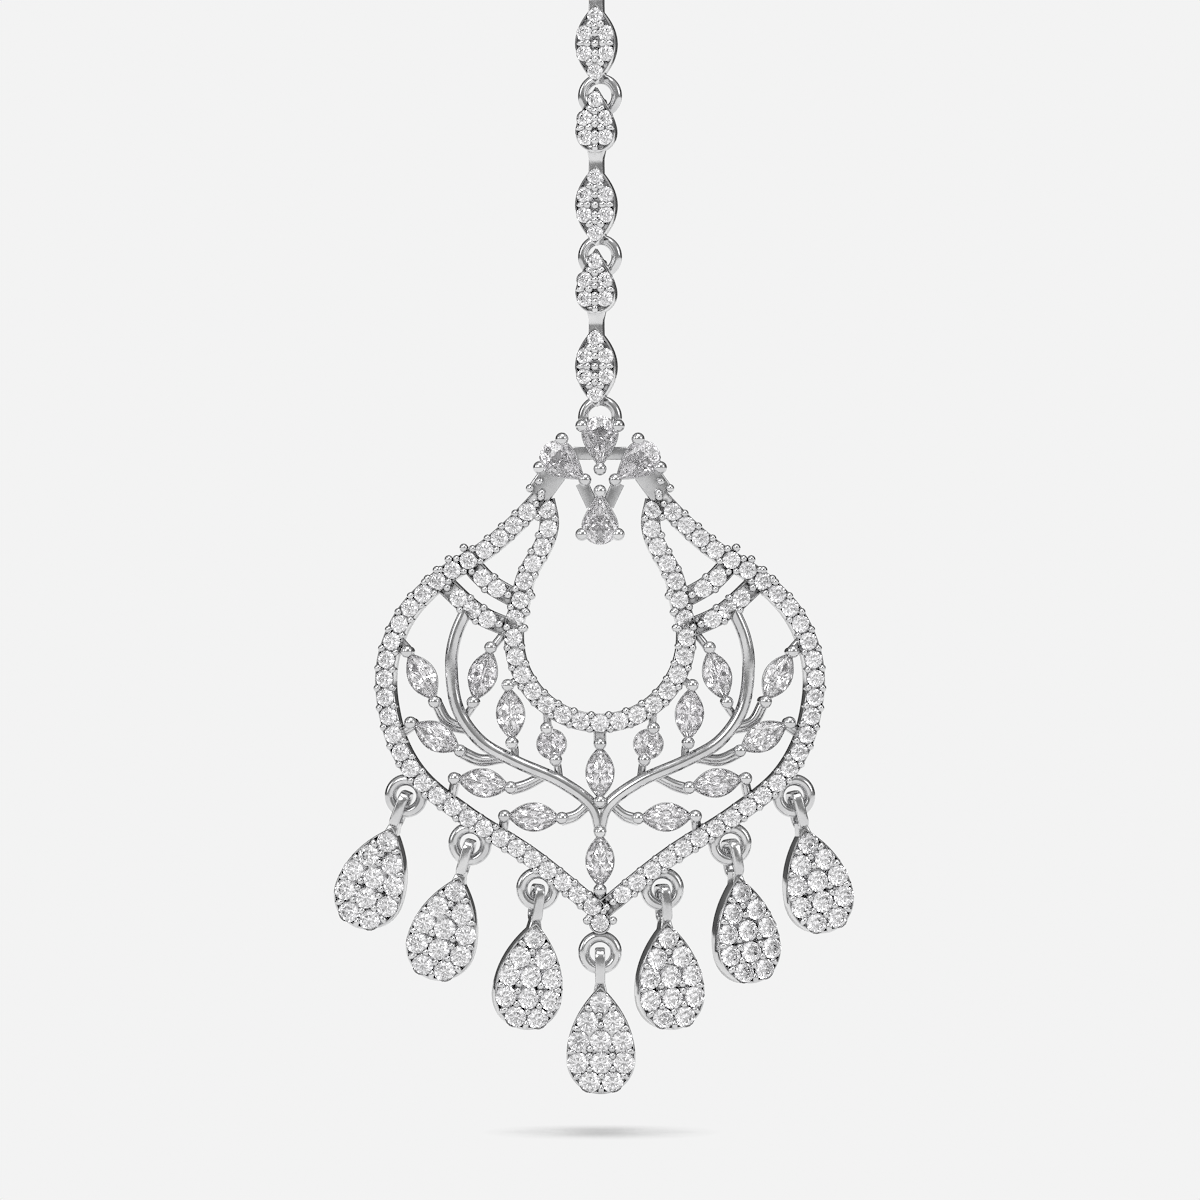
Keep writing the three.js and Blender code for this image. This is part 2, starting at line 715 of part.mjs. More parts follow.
function buildMaangTikka() {
  const chain = new THREE.Group();
  chain.rotation.z = turnOf(chainTurn);
  chain.add(hairHook());
  for (let i = 0; i < chainUnits; i += 1) {
    const unit = chainUnit(`chain_unit_${i + 1}`);
    unit.position.z = -hookDrop - i * unitPitch;
    chain.add(unit);
  }

  const pendant = new THREE.Group();
  pendant.position.z = -hookDrop - chainUnits * unitPitch;
  const stones = [...crownStones(), ...leafStones(), ...roundStones()];
  pendant.add(frame(stones));
  stones.forEach(({ name, kind, place }) => pendant.add(stoneMesh(name, stoneOf(kind), place)));
  drops.forEach((row, i) => {
    const piece = drop(`drop_${i + 1}`);
    dropRingPlace(row).decompose(piece.position, piece.quaternion, piece.scale);
    pendant.add(piece);
  });

  const tikka = new THREE.Group();
  tikka.add(chain, pendant);
  return tikka;
}

export default buildMaangTikka();
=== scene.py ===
# Maang tikka: polished silver and white cut stones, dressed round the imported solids.
# Sizes are millimetres, shares or degrees; mm turns them into the frame's metres.
import json
import math

import bpy
from mathutils import Euler, Matrix, Vector


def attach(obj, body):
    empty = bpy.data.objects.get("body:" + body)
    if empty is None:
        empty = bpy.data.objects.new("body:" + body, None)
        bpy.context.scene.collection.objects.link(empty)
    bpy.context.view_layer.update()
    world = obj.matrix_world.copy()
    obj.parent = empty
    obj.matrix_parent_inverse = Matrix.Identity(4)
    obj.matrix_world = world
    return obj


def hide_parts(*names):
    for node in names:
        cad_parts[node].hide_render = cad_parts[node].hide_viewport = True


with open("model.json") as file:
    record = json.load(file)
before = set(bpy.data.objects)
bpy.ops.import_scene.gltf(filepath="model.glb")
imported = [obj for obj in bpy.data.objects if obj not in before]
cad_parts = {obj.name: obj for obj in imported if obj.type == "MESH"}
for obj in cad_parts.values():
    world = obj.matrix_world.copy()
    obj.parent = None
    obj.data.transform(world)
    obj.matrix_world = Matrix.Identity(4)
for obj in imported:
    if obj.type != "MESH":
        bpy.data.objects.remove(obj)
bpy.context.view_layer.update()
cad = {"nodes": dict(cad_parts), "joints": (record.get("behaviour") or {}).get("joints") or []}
print("stage: frame loaded,", len(cad["nodes"]), "solids")

mm = 0.001

# Lines in the plane of the front are lists of vectors: x across, y to the back, z up


def splinePoint(p0, p1, p2, p3, t):
    spans = [max((b - a).length ** 0.5, 1e-4) for a, b in ((p0, p1), (p1, p2), (p2, p3))]
    d0, d1, d2 = spans
    leave = ((p1 - p0) / d0 - (p2 - p0) / (d0 + d1) + (p2 - p1) / d1) * d1
    arrive = ((p2 - p1) / d1 - (p3 - p1) / (d1 + d2) + (p3 - p2) / d2) * d1
    bend = -3 * p1 + 3 * p2 - 2 * leave - arrive
    return p1 + leave * t + bend * t ** 2 + (2 * p1 - 2 * p2 + leave + arrive) * t ** 3


def smoothLine(points, steps=12):
    line = [points[0].copy()]
    for i in range(len(points) - 1):
        p1, p2 = points[i], points[i + 1]
        p0 = points[i - 1] if i else 2 * p1 - p2
        p3 = points[i + 2] if i + 2 < len(points) else 2 * p2 - p1
        line += [splinePoint(p0, p1, p2, p3, (k + 1) / steps) for k in range(steps)]
    return line


def lineLength(line):
    return sum((b - a).length for a, b in zip(line, line[1:]))


def alongLine(line, share):
    left = share * lineLength(line)
    for a, b in zip(line, line[1:]):
        step = (b - a).length
        if left <= step:
            return a.lerp(b, left / step), (b - a).normalized()
        left -= step
    return line[-1].copy(), (line[-1] - line[-2]).normalized()


def evenLine(line, count, closed=False):
    whole = line + [line[0]] if closed else line
    last = count if closed else count - 1
    return [alongLine(whole, i / last)[0] for i in range(count)]


def roundLine(radius, count=48):
    turns = [2 * math.pi * i / count for i in range(count)]
    return [Vector((radius * math.cos(a), 0, radius * math.sin(a))) for a in turns]


def arch(start, control, end, steps):
    shares = [i / steps for i in range(steps)]
    return [start * (1 - t) ** 2 + control * 2 * t * (1 - t) + end * t ** 2 for t in shares]


# Outlines start at a tip; count is a multiple of 16, so that they keep their other tip too
def pearLine(width, length, count=48, fullness=0.3):
    r = width / 2
    centre = r - length / 2
    flank = centre + fullness * (length - r)
    tip, side = Vector((0, 0, length / 2)), Vector((-r, 0, centre))
    left = arch(tip, Vector((-r, 0, flank)), side, 24)
    turns = [math.pi * i / 24 for i in range(24)]
    bowl = [Vector((-r * math.cos(a), 0, centre - r * math.sin(a))) for a in turns]
    right = arch(Vector((r, 0, centre)), Vector((r, 0, flank)), tip, 24)
    return evenLine(left + bowl + right, count, closed=True)


def leafLine(width, length, count=48):
    tips = [Vector((length / 2, 0, 0)), Vector((-length / 2, 0, 0))]
    upper = arch(tips[0], Vector((0, 0, width)), tips[1], 24)
    lower = arch(tips[1], Vector((0, 0, -width)), tips[0], 24)
    return evenLine(upper + lower, count, closed=True)


def uprightLeafLine(width, length, count=48):
    return [Vector((-p.z, 0, p.x)) for p in leafLine(width, length, count)]


# Meshes


def meshObject(name, points, faces, edges=()):
    mesh = bpy.data.meshes.new(name)
    mesh.from_pydata([p * mm for p in points], list(edges), faces)
    mesh.validate()
    made = bpy.data.objects.new(name, mesh)
    bpy.context.scene.collection.objects.link(made)
    return made


def softEdges(piece, angle=40):
    piece.data.shade_smooth()
    piece.data.set_sharp_from_angle(angle=math.radians(angle))


# A closed solid through rings of points of one count, capped flat at both ends
def loft(name, rings):
    count = len(rings[0])
    faces = []
    for row in range(len(rings) - 1):
        for i in range(count):
            j = (i + 1) % count
            low, high = row * count, (row + 1) * count
            faces.append((low + i, low + j, high + j, high + i))
    faces.append(tuple(range(count))[::-1])
    faces.append(tuple((len(rings) - 1) * count + i for i in range(count)))
    made = meshObject(name, [p for ring in rings for p in ring], faces)
    facesOut(made)
    softEdges(made)
    return made


def facesOut(piece):
    mesh = piece.data
    volume = 0.0
    mesh.calc_loop_triangles()
    for t in mesh.loop_triangles:
        a, b, c = (mesh.vertices[i].co for i in t.vertices)
        volume += a.dot(b.cross(c))
    if volume < 0:
        mesh.flip_normals()


# A plate, cup or bezel: rings of an outline, each at an inset and a depth behind its front
def plate(name, outlineAt, profile, place):
    return loft(name, [[place @ (p + Vector((0, depth, 0))) for p in outlineAt(inset)]
                       for inset, depth in profile])


# Moves a mesh to a place given in millimetres
def movedTo(piece, place):
    piece.data.transform(Matrix.Translation(place.to_translation() * mm)
                         @ place.to_quaternion().to_matrix().to_4x4())


def joined(name, pieces):
    bpy.context.view_layer.update()
    with bpy.context.temp_override(active_object=pieces[0], selected_editable_objects=pieces):
        bpy.ops.object.join()
    pieces[0].name = name
    pieces[0].data.name = name
    return pieces[0]


# Node trees. Each input of a node is a plain value or the output of another node


def nodeIn(tree, kind, inputs=(), **options):
    made = tree.nodes.new(kind)
    for label, value in options.items():
        setattr(made, label, value)
    for label, value in dict(inputs).items():
        if isinstance(value, bpy.types.NodeSocket):
            tree.links.new(value, made.inputs[label])
        else:
            made.inputs[label].default_value = value
    return made


def mathNode(tree, operation, a, b):
    return nodeIn(tree, "ShaderNodeMath", {0: a, 1: b}, operation=operation).outputs[0]


def attributeOf(tree, label, kind):
    named = nodeIn(tree, "GeometryNodeInputNamedAttribute", {"Name": label}, data_type=kind)
    return named.outputs["Attribute"]


def newTree(name, inputs):
    tree = bpy.data.node_groups.new(name, "GeometryNodeTree")
    for label, kind in [("Geometry", "Geometry")] + inputs:
        tree.interface.new_socket(label, in_out="INPUT", socket_type="NodeSocket" + kind)
    tree.interface.new_socket("Geometry", in_out="OUTPUT", socket_type="NodeSocketGeometry")
    return tree, tree.nodes.new("NodeGroupInput").outputs, tree.nodes.new("NodeGroupOutput")


# The tree's end: instances become mesh, and the mesh gets its material
def endTree(tree, geometry, start, out):
    real = nodeIn(tree, "GeometryNodeRealizeInstances", {0: geometry}).outputs[0]
    paint = nodeIn(tree, "GeometryNodeSetMaterial", {"Geometry": real, "Material": start["Material"]})
    tree.links.new(paint.outputs[0], out.inputs[0])
    return tree


# Round wires along lines, each point's half thickness in the attribute "thick"
def wireTree():
    tree, start, out = newTree("wires", [("Sides", "Int"), ("Material", "Material")])
    line = nodeIn(tree, "GeometryNodeMeshToCurve", {0: start["Geometry"]})
    section = nodeIn(tree, "GeometryNodeCurvePrimitiveCircle", {"Radius": 1.0, "Resolution": start["Sides"]})
    sweep = nodeIn(tree, "GeometryNodeCurveToMesh", {
        "Curve": line.outputs[0], "Profile Curve": section.outputs[0],
        "Scale": attributeOf(tree, "thick", "FLOAT"), "Fill Caps": True})
    return endTree(tree, sweep.outputs[0], start, out)


# Bands of a drawn section along lines. The section's x points along "Facing", and the band is
# bent back at its sides with the radius "Bend", turning about the front plane
def bandTree():
    tree, start, out = newTree("bands", [
        ("Section", "Object"), ("Facing", "Vector"), ("Bend", "Float"), ("Front", "Float"),
        ("Material", "Material")])
    line = nodeIn(tree, "GeometryNodeMeshToCurve", {0: start["Geometry"]})
    turned = nodeIn(tree, "GeometryNodeSetCurveNormal", {
        "Curve": line.outputs[0], "Normal": start["Facing"]}, mode="FREE")
    drawn = nodeIn(tree, "GeometryNodeObjectInfo", {"Object": start["Section"]})
    section = nodeIn(tree, "GeometryNodeMeshToCurve", {0: drawn.outputs["Geometry"]})
    sweep = nodeIn(tree, "GeometryNodeCurveToMesh", {
        "Curve": turned.outputs[0], "Profile Curve": section.outputs[0], "Fill Caps": True})
    position = nodeIn(tree, "GeometryNodeInputPosition")
    split = nodeIn(tree, "ShaderNodeSeparateXYZ", {0: position.outputs[0]}).outputs
    lean = mathNode(tree, "DIVIDE", split["X"], start["Bend"])
    sag = mathNode(tree, "MULTIPLY", mathNode(tree, "MULTIPLY", lean, split["X"]), 0.5)
    deep = mathNode(tree, "SUBTRACT", start["Front"], split["Y"])
    inward = mathNode(tree, "MULTIPLY", lean, deep)
    offset = nodeIn(tree, "ShaderNodeCombineXYZ", {"X": inward, "Y": sag}).outputs[0]
    bent = nodeIn(tree, "GeometryNodeSetPosition", {"Geometry": sweep.outputs[0], "Offset": offset})
    return endTree(tree, bent.outputs[0], start, out)


# Copies of one cut stone, grain or claw on points, with a slight hand-set tilt and turn
def scatterTree():
    tree, start, out = newTree("settings", [
        ("Copy", "Object"), ("Tilt", "Float"), ("Spin", "Float"), ("Seed", "Int"), ("Material", "Material")])
    copy = nodeIn(tree, "GeometryNodeObjectInfo", {"Object": start["Copy"], "As Instance": True})
    most = nodeIn(tree, "ShaderNodeCombineXYZ", {"X": start["Tilt"], "Y": start["Spin"], "Z": start["Tilt"]})
    least = nodeIn(tree, "ShaderNodeVectorMath", {0: most.outputs[0], "Scale": -1.0}, operation="SCALE")
    chance = nodeIn(tree, "FunctionNodeRandomValue", {
        0: least.outputs[0], 1: most.outputs[0], "Seed": start["Seed"]}, data_type="FLOAT_VECTOR")
    toTurn = nodeIn(tree, "FunctionNodeEulerToRotation", {0: chance.outputs[0]})
    turned = nodeIn(tree, "FunctionNodeRotateRotation", {
        "Rotation": attributeOf(tree, "facing", "QUATERNION"), "Rotate By": toTurn.outputs[0]},
        rotation_space="LOCAL")
    place = nodeIn(tree, "GeometryNodeInstanceOnPoints", {
        "Points": start["Geometry"], "Instance": copy.outputs["Geometry"], "Rotation": turned.outputs[0],
        "Scale": attributeOf(tree, "size", "FLOAT")})
    return endTree(tree, place.outputs[0], start, out)


# Runs a tree on a line or point object and keeps the plain mesh
def grown(source, tree, values):
    modifier = source.modifiers.new("grow", "NODES")
    modifier.node_group = tree
    sockets = {item.name: item.identifier for item in tree.interface.items_tree if item.in_out == "INPUT"}
    for label, value in values.items():
        modifier[sockets[label]] = value
    bpy.context.view_layer.update()
    mesh = bpy.data.meshes.new_from_object(source.evaluated_get(bpy.context.evaluated_depsgraph_get()))
    source.modifiers.remove(modifier)
    mesh.name = source.name
    source.data = mesh
    for label in ("thick", "facing", "size"):
        if label in mesh.attributes:
            mesh.attributes.remove(mesh.attributes[label])
    return source


wires, bands, settings = wireTree(), bandTree(), scatterTree()


# Materials


def newMaterial(name):
    material = bpy.data.materials.new(name)
    material.use_nodes = True
    return material, material.node_tree, material.node_tree.nodes["Principled BSDF"]


def noiseIn(tree, scale, detail=2.0):
    where = nodeIn(tree, "ShaderNodeTexCoord").outputs["Object"]
    noise = nodeIn(tree, "ShaderNodeTexNoise", {"Vector": where, "Scale": scale, "Detail": detail})
    return noise.outputs["Fac"]


# Turns a value's span into another, evenly or with soft ends
def spreadIn(tree, value, span, low, high, kind="LINEAR"):
    return nodeIn(tree, "ShaderNodeMapRange", {
        "Value": value, "From Min": span[0], "From Max": span[1], "To Min": low, "To Max": high},
        interpolation_type=kind).outputs["Result"]


def softIn(tree, value, span, low, high):
    return spreadIn(tree, value, span, low, high, "SMOOTHSTEP")


def rampIn(tree, value, span, colours):
    ramp = nodeIn(tree, "ShaderNodeValToRGB", {"Fac": value})
    for stop, at, colour in zip(ramp.color_ramp.elements, span, colours):
        stop.position = at
        stop.color = (*colour, 1)
    return ramp.outputs["Color"]


# Silver's look: random grey patches, and a painted shade that darkens crevices and the gaps between parts
silverLook = {"light": 0.78, "dark": 0.66, "cool": (1.01, 1.005), "cloud": 420, "patches": (0.35, 0.65),
              "crevice": 0.22, "creviceReach": 0.35, "paintedShadeOcclusion": (0.25, 0.85), "polish": 2600, "metal": 1.0,
              "rough": (0.09, 0.2), "worn": (0.3, 0.7), "dent": 0.012, "bump": 0.35}


def silverMaterial(name, **changes):
    look = {**silverLook, **changes}
    material, tree, shader = newMaterial(name)
    shader.inputs["Metallic"].default_value = look["metal"]
    greys = [(grey, grey, grey * cool) for grey, cool in zip((look["dark"], look["light"]), look["cool"])]
    colour = rampIn(tree, noiseIn(tree, look["cloud"]), look["patches"], greys)
    # Painted shade: the colour darkens in crevices, recesses and between parts, by how shut in they are
    # (ambient occlusion)
    paintedShadeOcclusion = nodeIn(tree, "ShaderNodeAmbientOcclusion", {
        "Color": colour, "Distance": look["creviceReach"] * mm}, samples=6)
    depth = spreadIn(tree, paintedShadeOcclusion.outputs["AO"], look["paintedShadeOcclusion"], look["crevice"], 1.0)
    shade = nodeIn(tree, "ShaderNodeMix", {"Factor": 1.0, "A": colour, "B": depth},
                   data_type="RGBA", blend_type="MULTIPLY")
    tree.links.new(shade.outputs["Result"], shader.inputs["Base Color"])
    polish = noiseIn(tree, look["polish"], 3.0)
    tree.links.new(spreadIn(tree, polish, look["worn"], *look["rough"]), shader.inputs["Roughness"])
    bump = nodeIn(tree, "ShaderNodeBump", {
        "Strength": look["bump"], "Distance": look["dent"] * mm, "Height": polish})
    tree.links.new(bump.outputs["Normal"], shader.inputs["Normal"])
    return material


smallStoneLook = {"clear": (0.975, 0.97, 0.98), "tint": (0.93, 0.925, 0.94), "cloud": 260, "index": 2.16,
                  "rough": (0.0, 0.015), "patches": (0.4, 0.6), "worn": (0.3, 0.7)}
mainStoneLook = dict(smallStoneLook, clear=(0.985, 0.975, 0.985), tint=(0.93, 0.91, 0.94), cloud=300,
                     rough=(0.0, 0.04))


def stoneMaterial(name, look):
    material, tree, shader = newMaterial(name)
    shader.inputs["IOR"].default_value = look["index"]
    shader.inputs["Transmission Weight"].default_value = 1.0
    cloud = noiseIn(tree, look["cloud"])
    colour = rampIn(tree, cloud, look["patches"], (look["tint"], look["clear"]))
    tree.links.new(colour, shader.inputs["Base Color"])
    tree.links.new(spreadIn(tree, cloud, look["worn"], *look["rough"]), shader.inputs["Roughness"])
    return material


# One silver in copies painted lighter or darker: the open setting's is painted lighter, without painted
# crevice shade; the claws' has weaker painted crevice shade; the chain's is painted lighter, with weaker
# painted crevice shade; the crown bars' is painted darker, as if shaded
silver = silverMaterial("polishedSilver")
litOpenSilver = silverMaterial("openSettingSilver", light=0.88, dark=0.8, crevice=1.0, rough=(0.35, 0.5),
                            metal=0.6)
clawSilver = silverMaterial("clawSilver", crevice=0.7)
chainSilver = silverMaterial("chainSilver", light=0.84, dark=0.72, crevice=0.5)
shadedBarSilver = silverMaterial("crownBarSilver", light=0.7, dark=0.58, crevice=0.9, rough=(0.2, 0.32))
stoneWhite = stoneMaterial("smallWhiteStone", smallStoneLook)
stoneClear = stoneMaterial("mainClearStone", mainStoneLook)
print("stage: materials and trees ready")


def linesObject(name, rows):
    points, edges = [], []
    for line, closed in rows:
        first = len(points)
        points += line
        edges += [(first + i, first + i + 1) for i in range(len(line) - 1)]
        if closed:
            edges.append((len(points) - 1, first))
    return meshObject(name, points, [], edges)


def keptOn(piece, label, kind, values):
    piece.data.attributes.new(label, kind, "POINT").data.foreach_set("value", values)


# A piece made of round wires: rows of line, half thickness or a list of them, and closed or not
def wirePiece(name, rows, sides=14, material=silver):
    made = linesObject(name, [(line, closed) for line, half, closed in rows])
    halves = [half if isinstance(half, list) else [half] * len(line) for line, half, closed in rows]
    keptOn(made, "thick", "FLOAT", [t * mm for thick in halves for t in thick])
    grown(made, wires, {"Sides": sides, "Material": material})
    softEdges(made, 50)
    return made


# A piece made of bands with a drawn section; facing is the way that the section's x points
def bandPiece(name, rows, section, facing, bend=1e6, material=silver):
    drawn = linesObject(name + "_section", [([Vector((x, y, 0)) for x, y in section], True)])
    made = linesObject(name, rows)
    grown(made, bands, {"Section": drawn, "Facing": facing, "Bend": bend * mm, "Front": frontPlane * mm,
                        "Material": material})
    bpy.data.objects.remove(drawn)
    facesOut(made)
    softEdges(made, 35)
    return made


# Copies of a cut stone, grain or claw: rows of place, a matrix in millimetres, and size
def scatterPiece(name, copy, rows, material, tilt=0.0, spin=0.0, seed=1):
    made = meshObject(name, [place.to_translation() for place, size in rows], [])
    keptOn(made, "facing", "QUATERNION", [part for place, size in rows for part in place.to_quaternion()])
    keptOn(made, "size", "FLOAT", [size for place, size in rows])
    return grown(made, settings, {"Copy": copy, "Tilt": math.radians(tilt), "Spin": math.radians(spin),
                                  "Seed": seed, "Material": material})


# Cut stones

girdleShare = 0.03


# A brilliant over any outline: table, stars, kites, halves, a thin girdle and a pavilion
def brilliant(name, outline, crown, pavilion, table, culet=Vector((0, 0, 0))):
    count = len(outline)
    step = count // 16
    cosine = math.cos(math.pi / 8)

    def at(share, i, depth, middle=Vector((0, 0, 0))):
        return middle + (outline[(i * step) % count] - middle) * share + Vector((0, depth, 0))

    starShare = (table * cosine + 1) / 2
    starHeight = crown * (1 - (starShare * cosine - table) / (1 - table))
    halfShare = 0.24
    girdle = girdleShare * pavilion * 2
    tables = [at(table, 2 * i, -crown) for i in range(8)]
    stars = [at(starShare, 2 * i + 1, -starHeight) for i in range(8)]
    halves = [at(halfShare, 2 * i + 1, girdle + pavilion * (1 - halfShare * cosine), culet) for i in range(8)]
    points = tables + stars + halves + [culet + Vector((0, girdle + pavilion, 0))]
    top, low = len(points), len(points) + count
    points += [p.copy() for p in outline] + [p + Vector((0, girdle, 0)) for p in outline]
    faces = [tuple(range(8))]
    for i in range(8):
        n, b = (i + 1) % 8, (i - 1) % 8
        main = 2 * i * step
        faces.append((i, 8 + i, n))
        faces.append((i, 8 + b, top + main, 8 + i))
        faces.append((24, 16 + i, low + main, 16 + b))
        for k in range(2 * step):
            g, h = main + k, (main + k + 1) % count
            faces.append((8 + i, top + g, top + h))
            faces.append((16 + i, low + h, low + g))
            faces.append((top + g, low + g, low + h, top + h))
    made = meshObject(name, points, faces)
    facesOut(made)
    return made


paveCut = {"stone": 1.5, "crown": 0.25, "pavilion": 0.62, "table": 0.56, "proud": 0.11, "tilt": 2.5}
smallStone = brilliant("small_stone", roundLine(paveCut["stone"] / 2, 16), paveCut["crown"],
                       paveCut["pavilion"], paveCut["table"])


# Grains and claws: a turned post whose ball head looks to the front
def turnedPost(name, radius, post, back, sides, rows):
    neck = math.asin(min(post / radius, 0.99))
    heads = [math.pi - neck - (math.pi - neck) * i / rows for i in range(rows)]
    profile = [(post, back)] + [(radius * math.sin(a), radius * -math.cos(a)) for a in heads]
    turns = [2 * math.pi * k / sides for k in range(sides)]
    rings = [[Vector((r * math.cos(a), depth, r * math.sin(a))) for a in turns] for r, depth in profile]
    tip = Vector((0, -radius, 0))
    points = [p for ring in rings for p in ring] + [tip]
    faces = [tuple(range(sides))]
    for row in range(len(rings) - 1):
        for k in range(sides):
            j = (k + 1) % sides
            faces.append((row * sides + k, (row + 1) * sides + k, (row + 1) * sides + j, row * sides + j))
    last = (len(rings) - 1) * sides
    faces += [(last + k, len(points) - 1, last + (k + 1) % sides) for k in range(sides)]
    made = meshObject(name, points, faces)
    facesOut(made)
    softEdges(made, 60)
    return made


grain = {"radius": 0.34, "post": 0.24, "back": 0.75, "reach": 0.62, "near": 0.45, "fill": 0.5,
         "touch": 0.8, "clear": 0.45, "fillStep": 0.12, "fillClear": 0.62, "fillRim": 0.28}
claw = {"radius": 0.56, "post": 0.4, "back": 1.7, "stand": 0.5}
grainCopy = turnedPost("grain", grain["radius"], grain["post"], grain["back"], 12, 5)
prongCopy = turnedPost("prong", grain["radius"], grain["post"], grain["back"], 12, 5)
prongCopy.data.transform(Matrix.Diagonal((0.9, 1, 1.35, 1)))
clawCopy = turnedPost("claw", claw["radius"], claw["post"], claw["back"], 20, 8)


def clearOf(spot, stones, margin):
    return all((spot - Vector((x, z))).length > r + margin for x, z, r in stones)


def aloneAmong(spot, spots, gap):
    return all((spot - other).length > gap for other, lead in spots)


def rimGap(spot, outline):
    return min((Vector((p.x, p.z)) - spot).length for p in outline)


# Where grains stand among stones, as (x, z, radius) in a plane: beside each close pair, clear of
# every stone, with the way that leads out from the pair
def grainSpots(stones, radius):
    spots = []
    for i, (ax, az, ar) in enumerate(stones):
        for bx, bz, br in stones[i + 1:]:
            a, b = Vector((ax, az)), Vector((bx, bz))
            apart = (b - a).length
            if apart > ar + br + grain["reach"]:
                continue
            touch = (ar + br) / 2 + grain["touch"] * radius
            rise = math.sqrt(max(touch ** 2 - (apart / 2) ** 2, 0.0))
            way = Vector((a.y - b.y, b.x - a.x)) / apart
            for side in (-1, 1):
                spot = (a + b) / 2 + way * rise * side
                if clearOf(spot, stones, grain["clear"] * radius) and aloneAmong(spot, spots, grain["near"]):
                    spots.append((spot, way * side))
    return spots


def isInside(spot, outline):
    odd = False
    for a, b in zip(outline, outline[1:] + outline[:1]):
        if (a.z > spot.y) != (b.z > spot.y) and spot.x < a.x + (b.x - a.x) * (spot.y - a.z) / (b.z - a.z):
            odd = not odd
    return odd


# More grains in the wider gaps of a field, from its middle outwards
def filledSpots(spots, stones, outline, radius):
    middle = sum(outline, Vector((0, 0, 0))) / len(outline)
    half = max(abs(p.z - middle.z) for p in outline)
    step = grain["fillStep"]
    steps = range(-int(half / step), int(half / step) + 1)
    places = [Vector((middle.x + i * step, middle.z + k * step)) for i in steps for k in steps]
    centre = Vector((middle.x, middle.z))
    found = list(spots)
    for spot in sorted(places, key=lambda p: round((p - centre).length, 3)):
        free = clearOf(spot, stones, grain["fillClear"] * radius) and aloneAmong(spot, found, grain["fill"])
        if free and rimGap(spot, outline) > grain["fillRim"] and isInside(spot, outline):
            found.append((spot, (spot - centre + Vector((1e-6, 0))).normalized()))
    return found


# Splits spots into the grains inside a field and the longer prongs along its edge, which are
# drawn in until they stand on the rim
def edgeSpots(spots, outline, edge=0.6, rimInset=0.3):
    between, edging = [], []
    for spot, lead in spots:
        gap = rimGap(spot, outline) * (1 if isInside(spot, outline) else -1)
        if gap > edge:
            between.append((spot, lead))
        else:
            edging.append((spot - lead * max(0.0, rimInset - gap), lead))
    return between, edging


def grainRow(place, spots, depth, size):
    rows = []
    for spot, lead in spots:
        turn = Matrix.Rotation(math.atan2(lead.x, lead.y), 4, "Y")
        rows.append((place @ Matrix.Translation((spot.x, depth, spot.y)) @ turn, size))
    return rows


def finished(piece, body, slot, *nodes, material=None):
    if material:
        piece.data.materials.clear()
        piece.data.materials.append(material)
    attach(piece, body)
    if nodes:
        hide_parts(*nodes)
    return piece


# Chain

chain = {"hookDrop": 15.5, "hookBend": 3.4, "hookTail": 5.5, "hookWire": 1.1, "units": 3, "turn": -10,
         "ringRadius": 1.45, "ringWire": 0.9, "bailRoom": 0.3, "bailThick": 0.45, "bailCorner": 0.18,
         "lap": 0.2, "depth": 1.4, "pearWidth": 3.45, "pearLength": 5.55, "tipRise": 2.05, "neckLength": 1.1,
         "leafWidth": 3.5, "leafLength": 6.8, "ringTuck": 0.57, "stone": 1.36, "floor": 0.8,
         "grainRadius": 0.26, "fillRadius": 0.3, "grainSize": 1.15, "prongSize": 0.95}
hookCurve = [(0.8, 0.38), (0.2, 0.75)]
hookTaper = (25, 22)
chainPearRows = [(0.19, [0]), (0.48, [-0.54, 0.54]), (0.77, [-0.49, 0.49])]
chainLeafRows = [(0.145, [0]), (0.37, [-0.525, 0.525]), (0.62, [-0.54, 0.54]), (0.85, [0])]
# Boxes that the solid blocks run through. Neck: height from the pear's foot, half width, how far
# the front lies back; tab: depth from the station's back, half width
neckBoxes = [(0.55, 0.86, 0.2), (0, 0.7, 0.12), (-0.5, 0.6, 0.22), (-1.1, 0.6, 0.22), (-1.8, 0.62, 0.2)]
tabBoxes = [(-0.25, 0.45), (0.3, 0.42), (1.0, 0.4)]
tabHeight = 0.75

bailInner = chain["ringWire"] / 2 + chain["bailRoom"]
bailOuter = bailInner + chain["bailThick"]
bailWidth = chain["ringRadius"] - chain["ringWire"] / 2
stationBack = chain["lap"] - bailOuter
frontPlane = stationBack - chain["depth"]
unitPitch = (chain["pearLength"] - chain["tipRise"] + chain["neckLength"] + chain["leafLength"]
             - chain["ringTuck"] + 2 * chain["ringRadius"])
chainTurn = Matrix.Rotation(math.radians(chain["turn"]), 4, "Z")
unitPlaces = [chainTurn @ Matrix.Translation((0, 0, -chain["hookDrop"] - i * unitPitch))
              for i in range(chain["units"])]


def rowSpots(rows, top, length, width):
    return [(share * width / 2, top - down * length) for down, across in rows for share in across]


# A rounded box section, as a list of x and y
def boxSection(width, height, corner, steps=3):
    section = []
    for cx, cy, start in ((1, 1, 0), (-1, 1, 90), (-1, -1, 180), (1, -1, 270)):
        for i in range(steps + 1):
            a = math.radians(start + 90 * i / steps)
            section.append((cx * (width / 2 - corner) + corner * math.cos(a),
                            cy * (height / 2 - corner) + corner * math.sin(a)))
    return section


# A block through rounded boxes, which run up or to the back: rows of middle, width and height
def block(name, place, rows, upward=True, corner=0.15):
    rings = []
    for middle, width, height in rows:
        section = boxSection(width, height, corner)
        rings.append([place @ (middle + Vector((x, y, 0) if upward else (x, 0, y))) for x, y in section])
    return loft(name, rings)


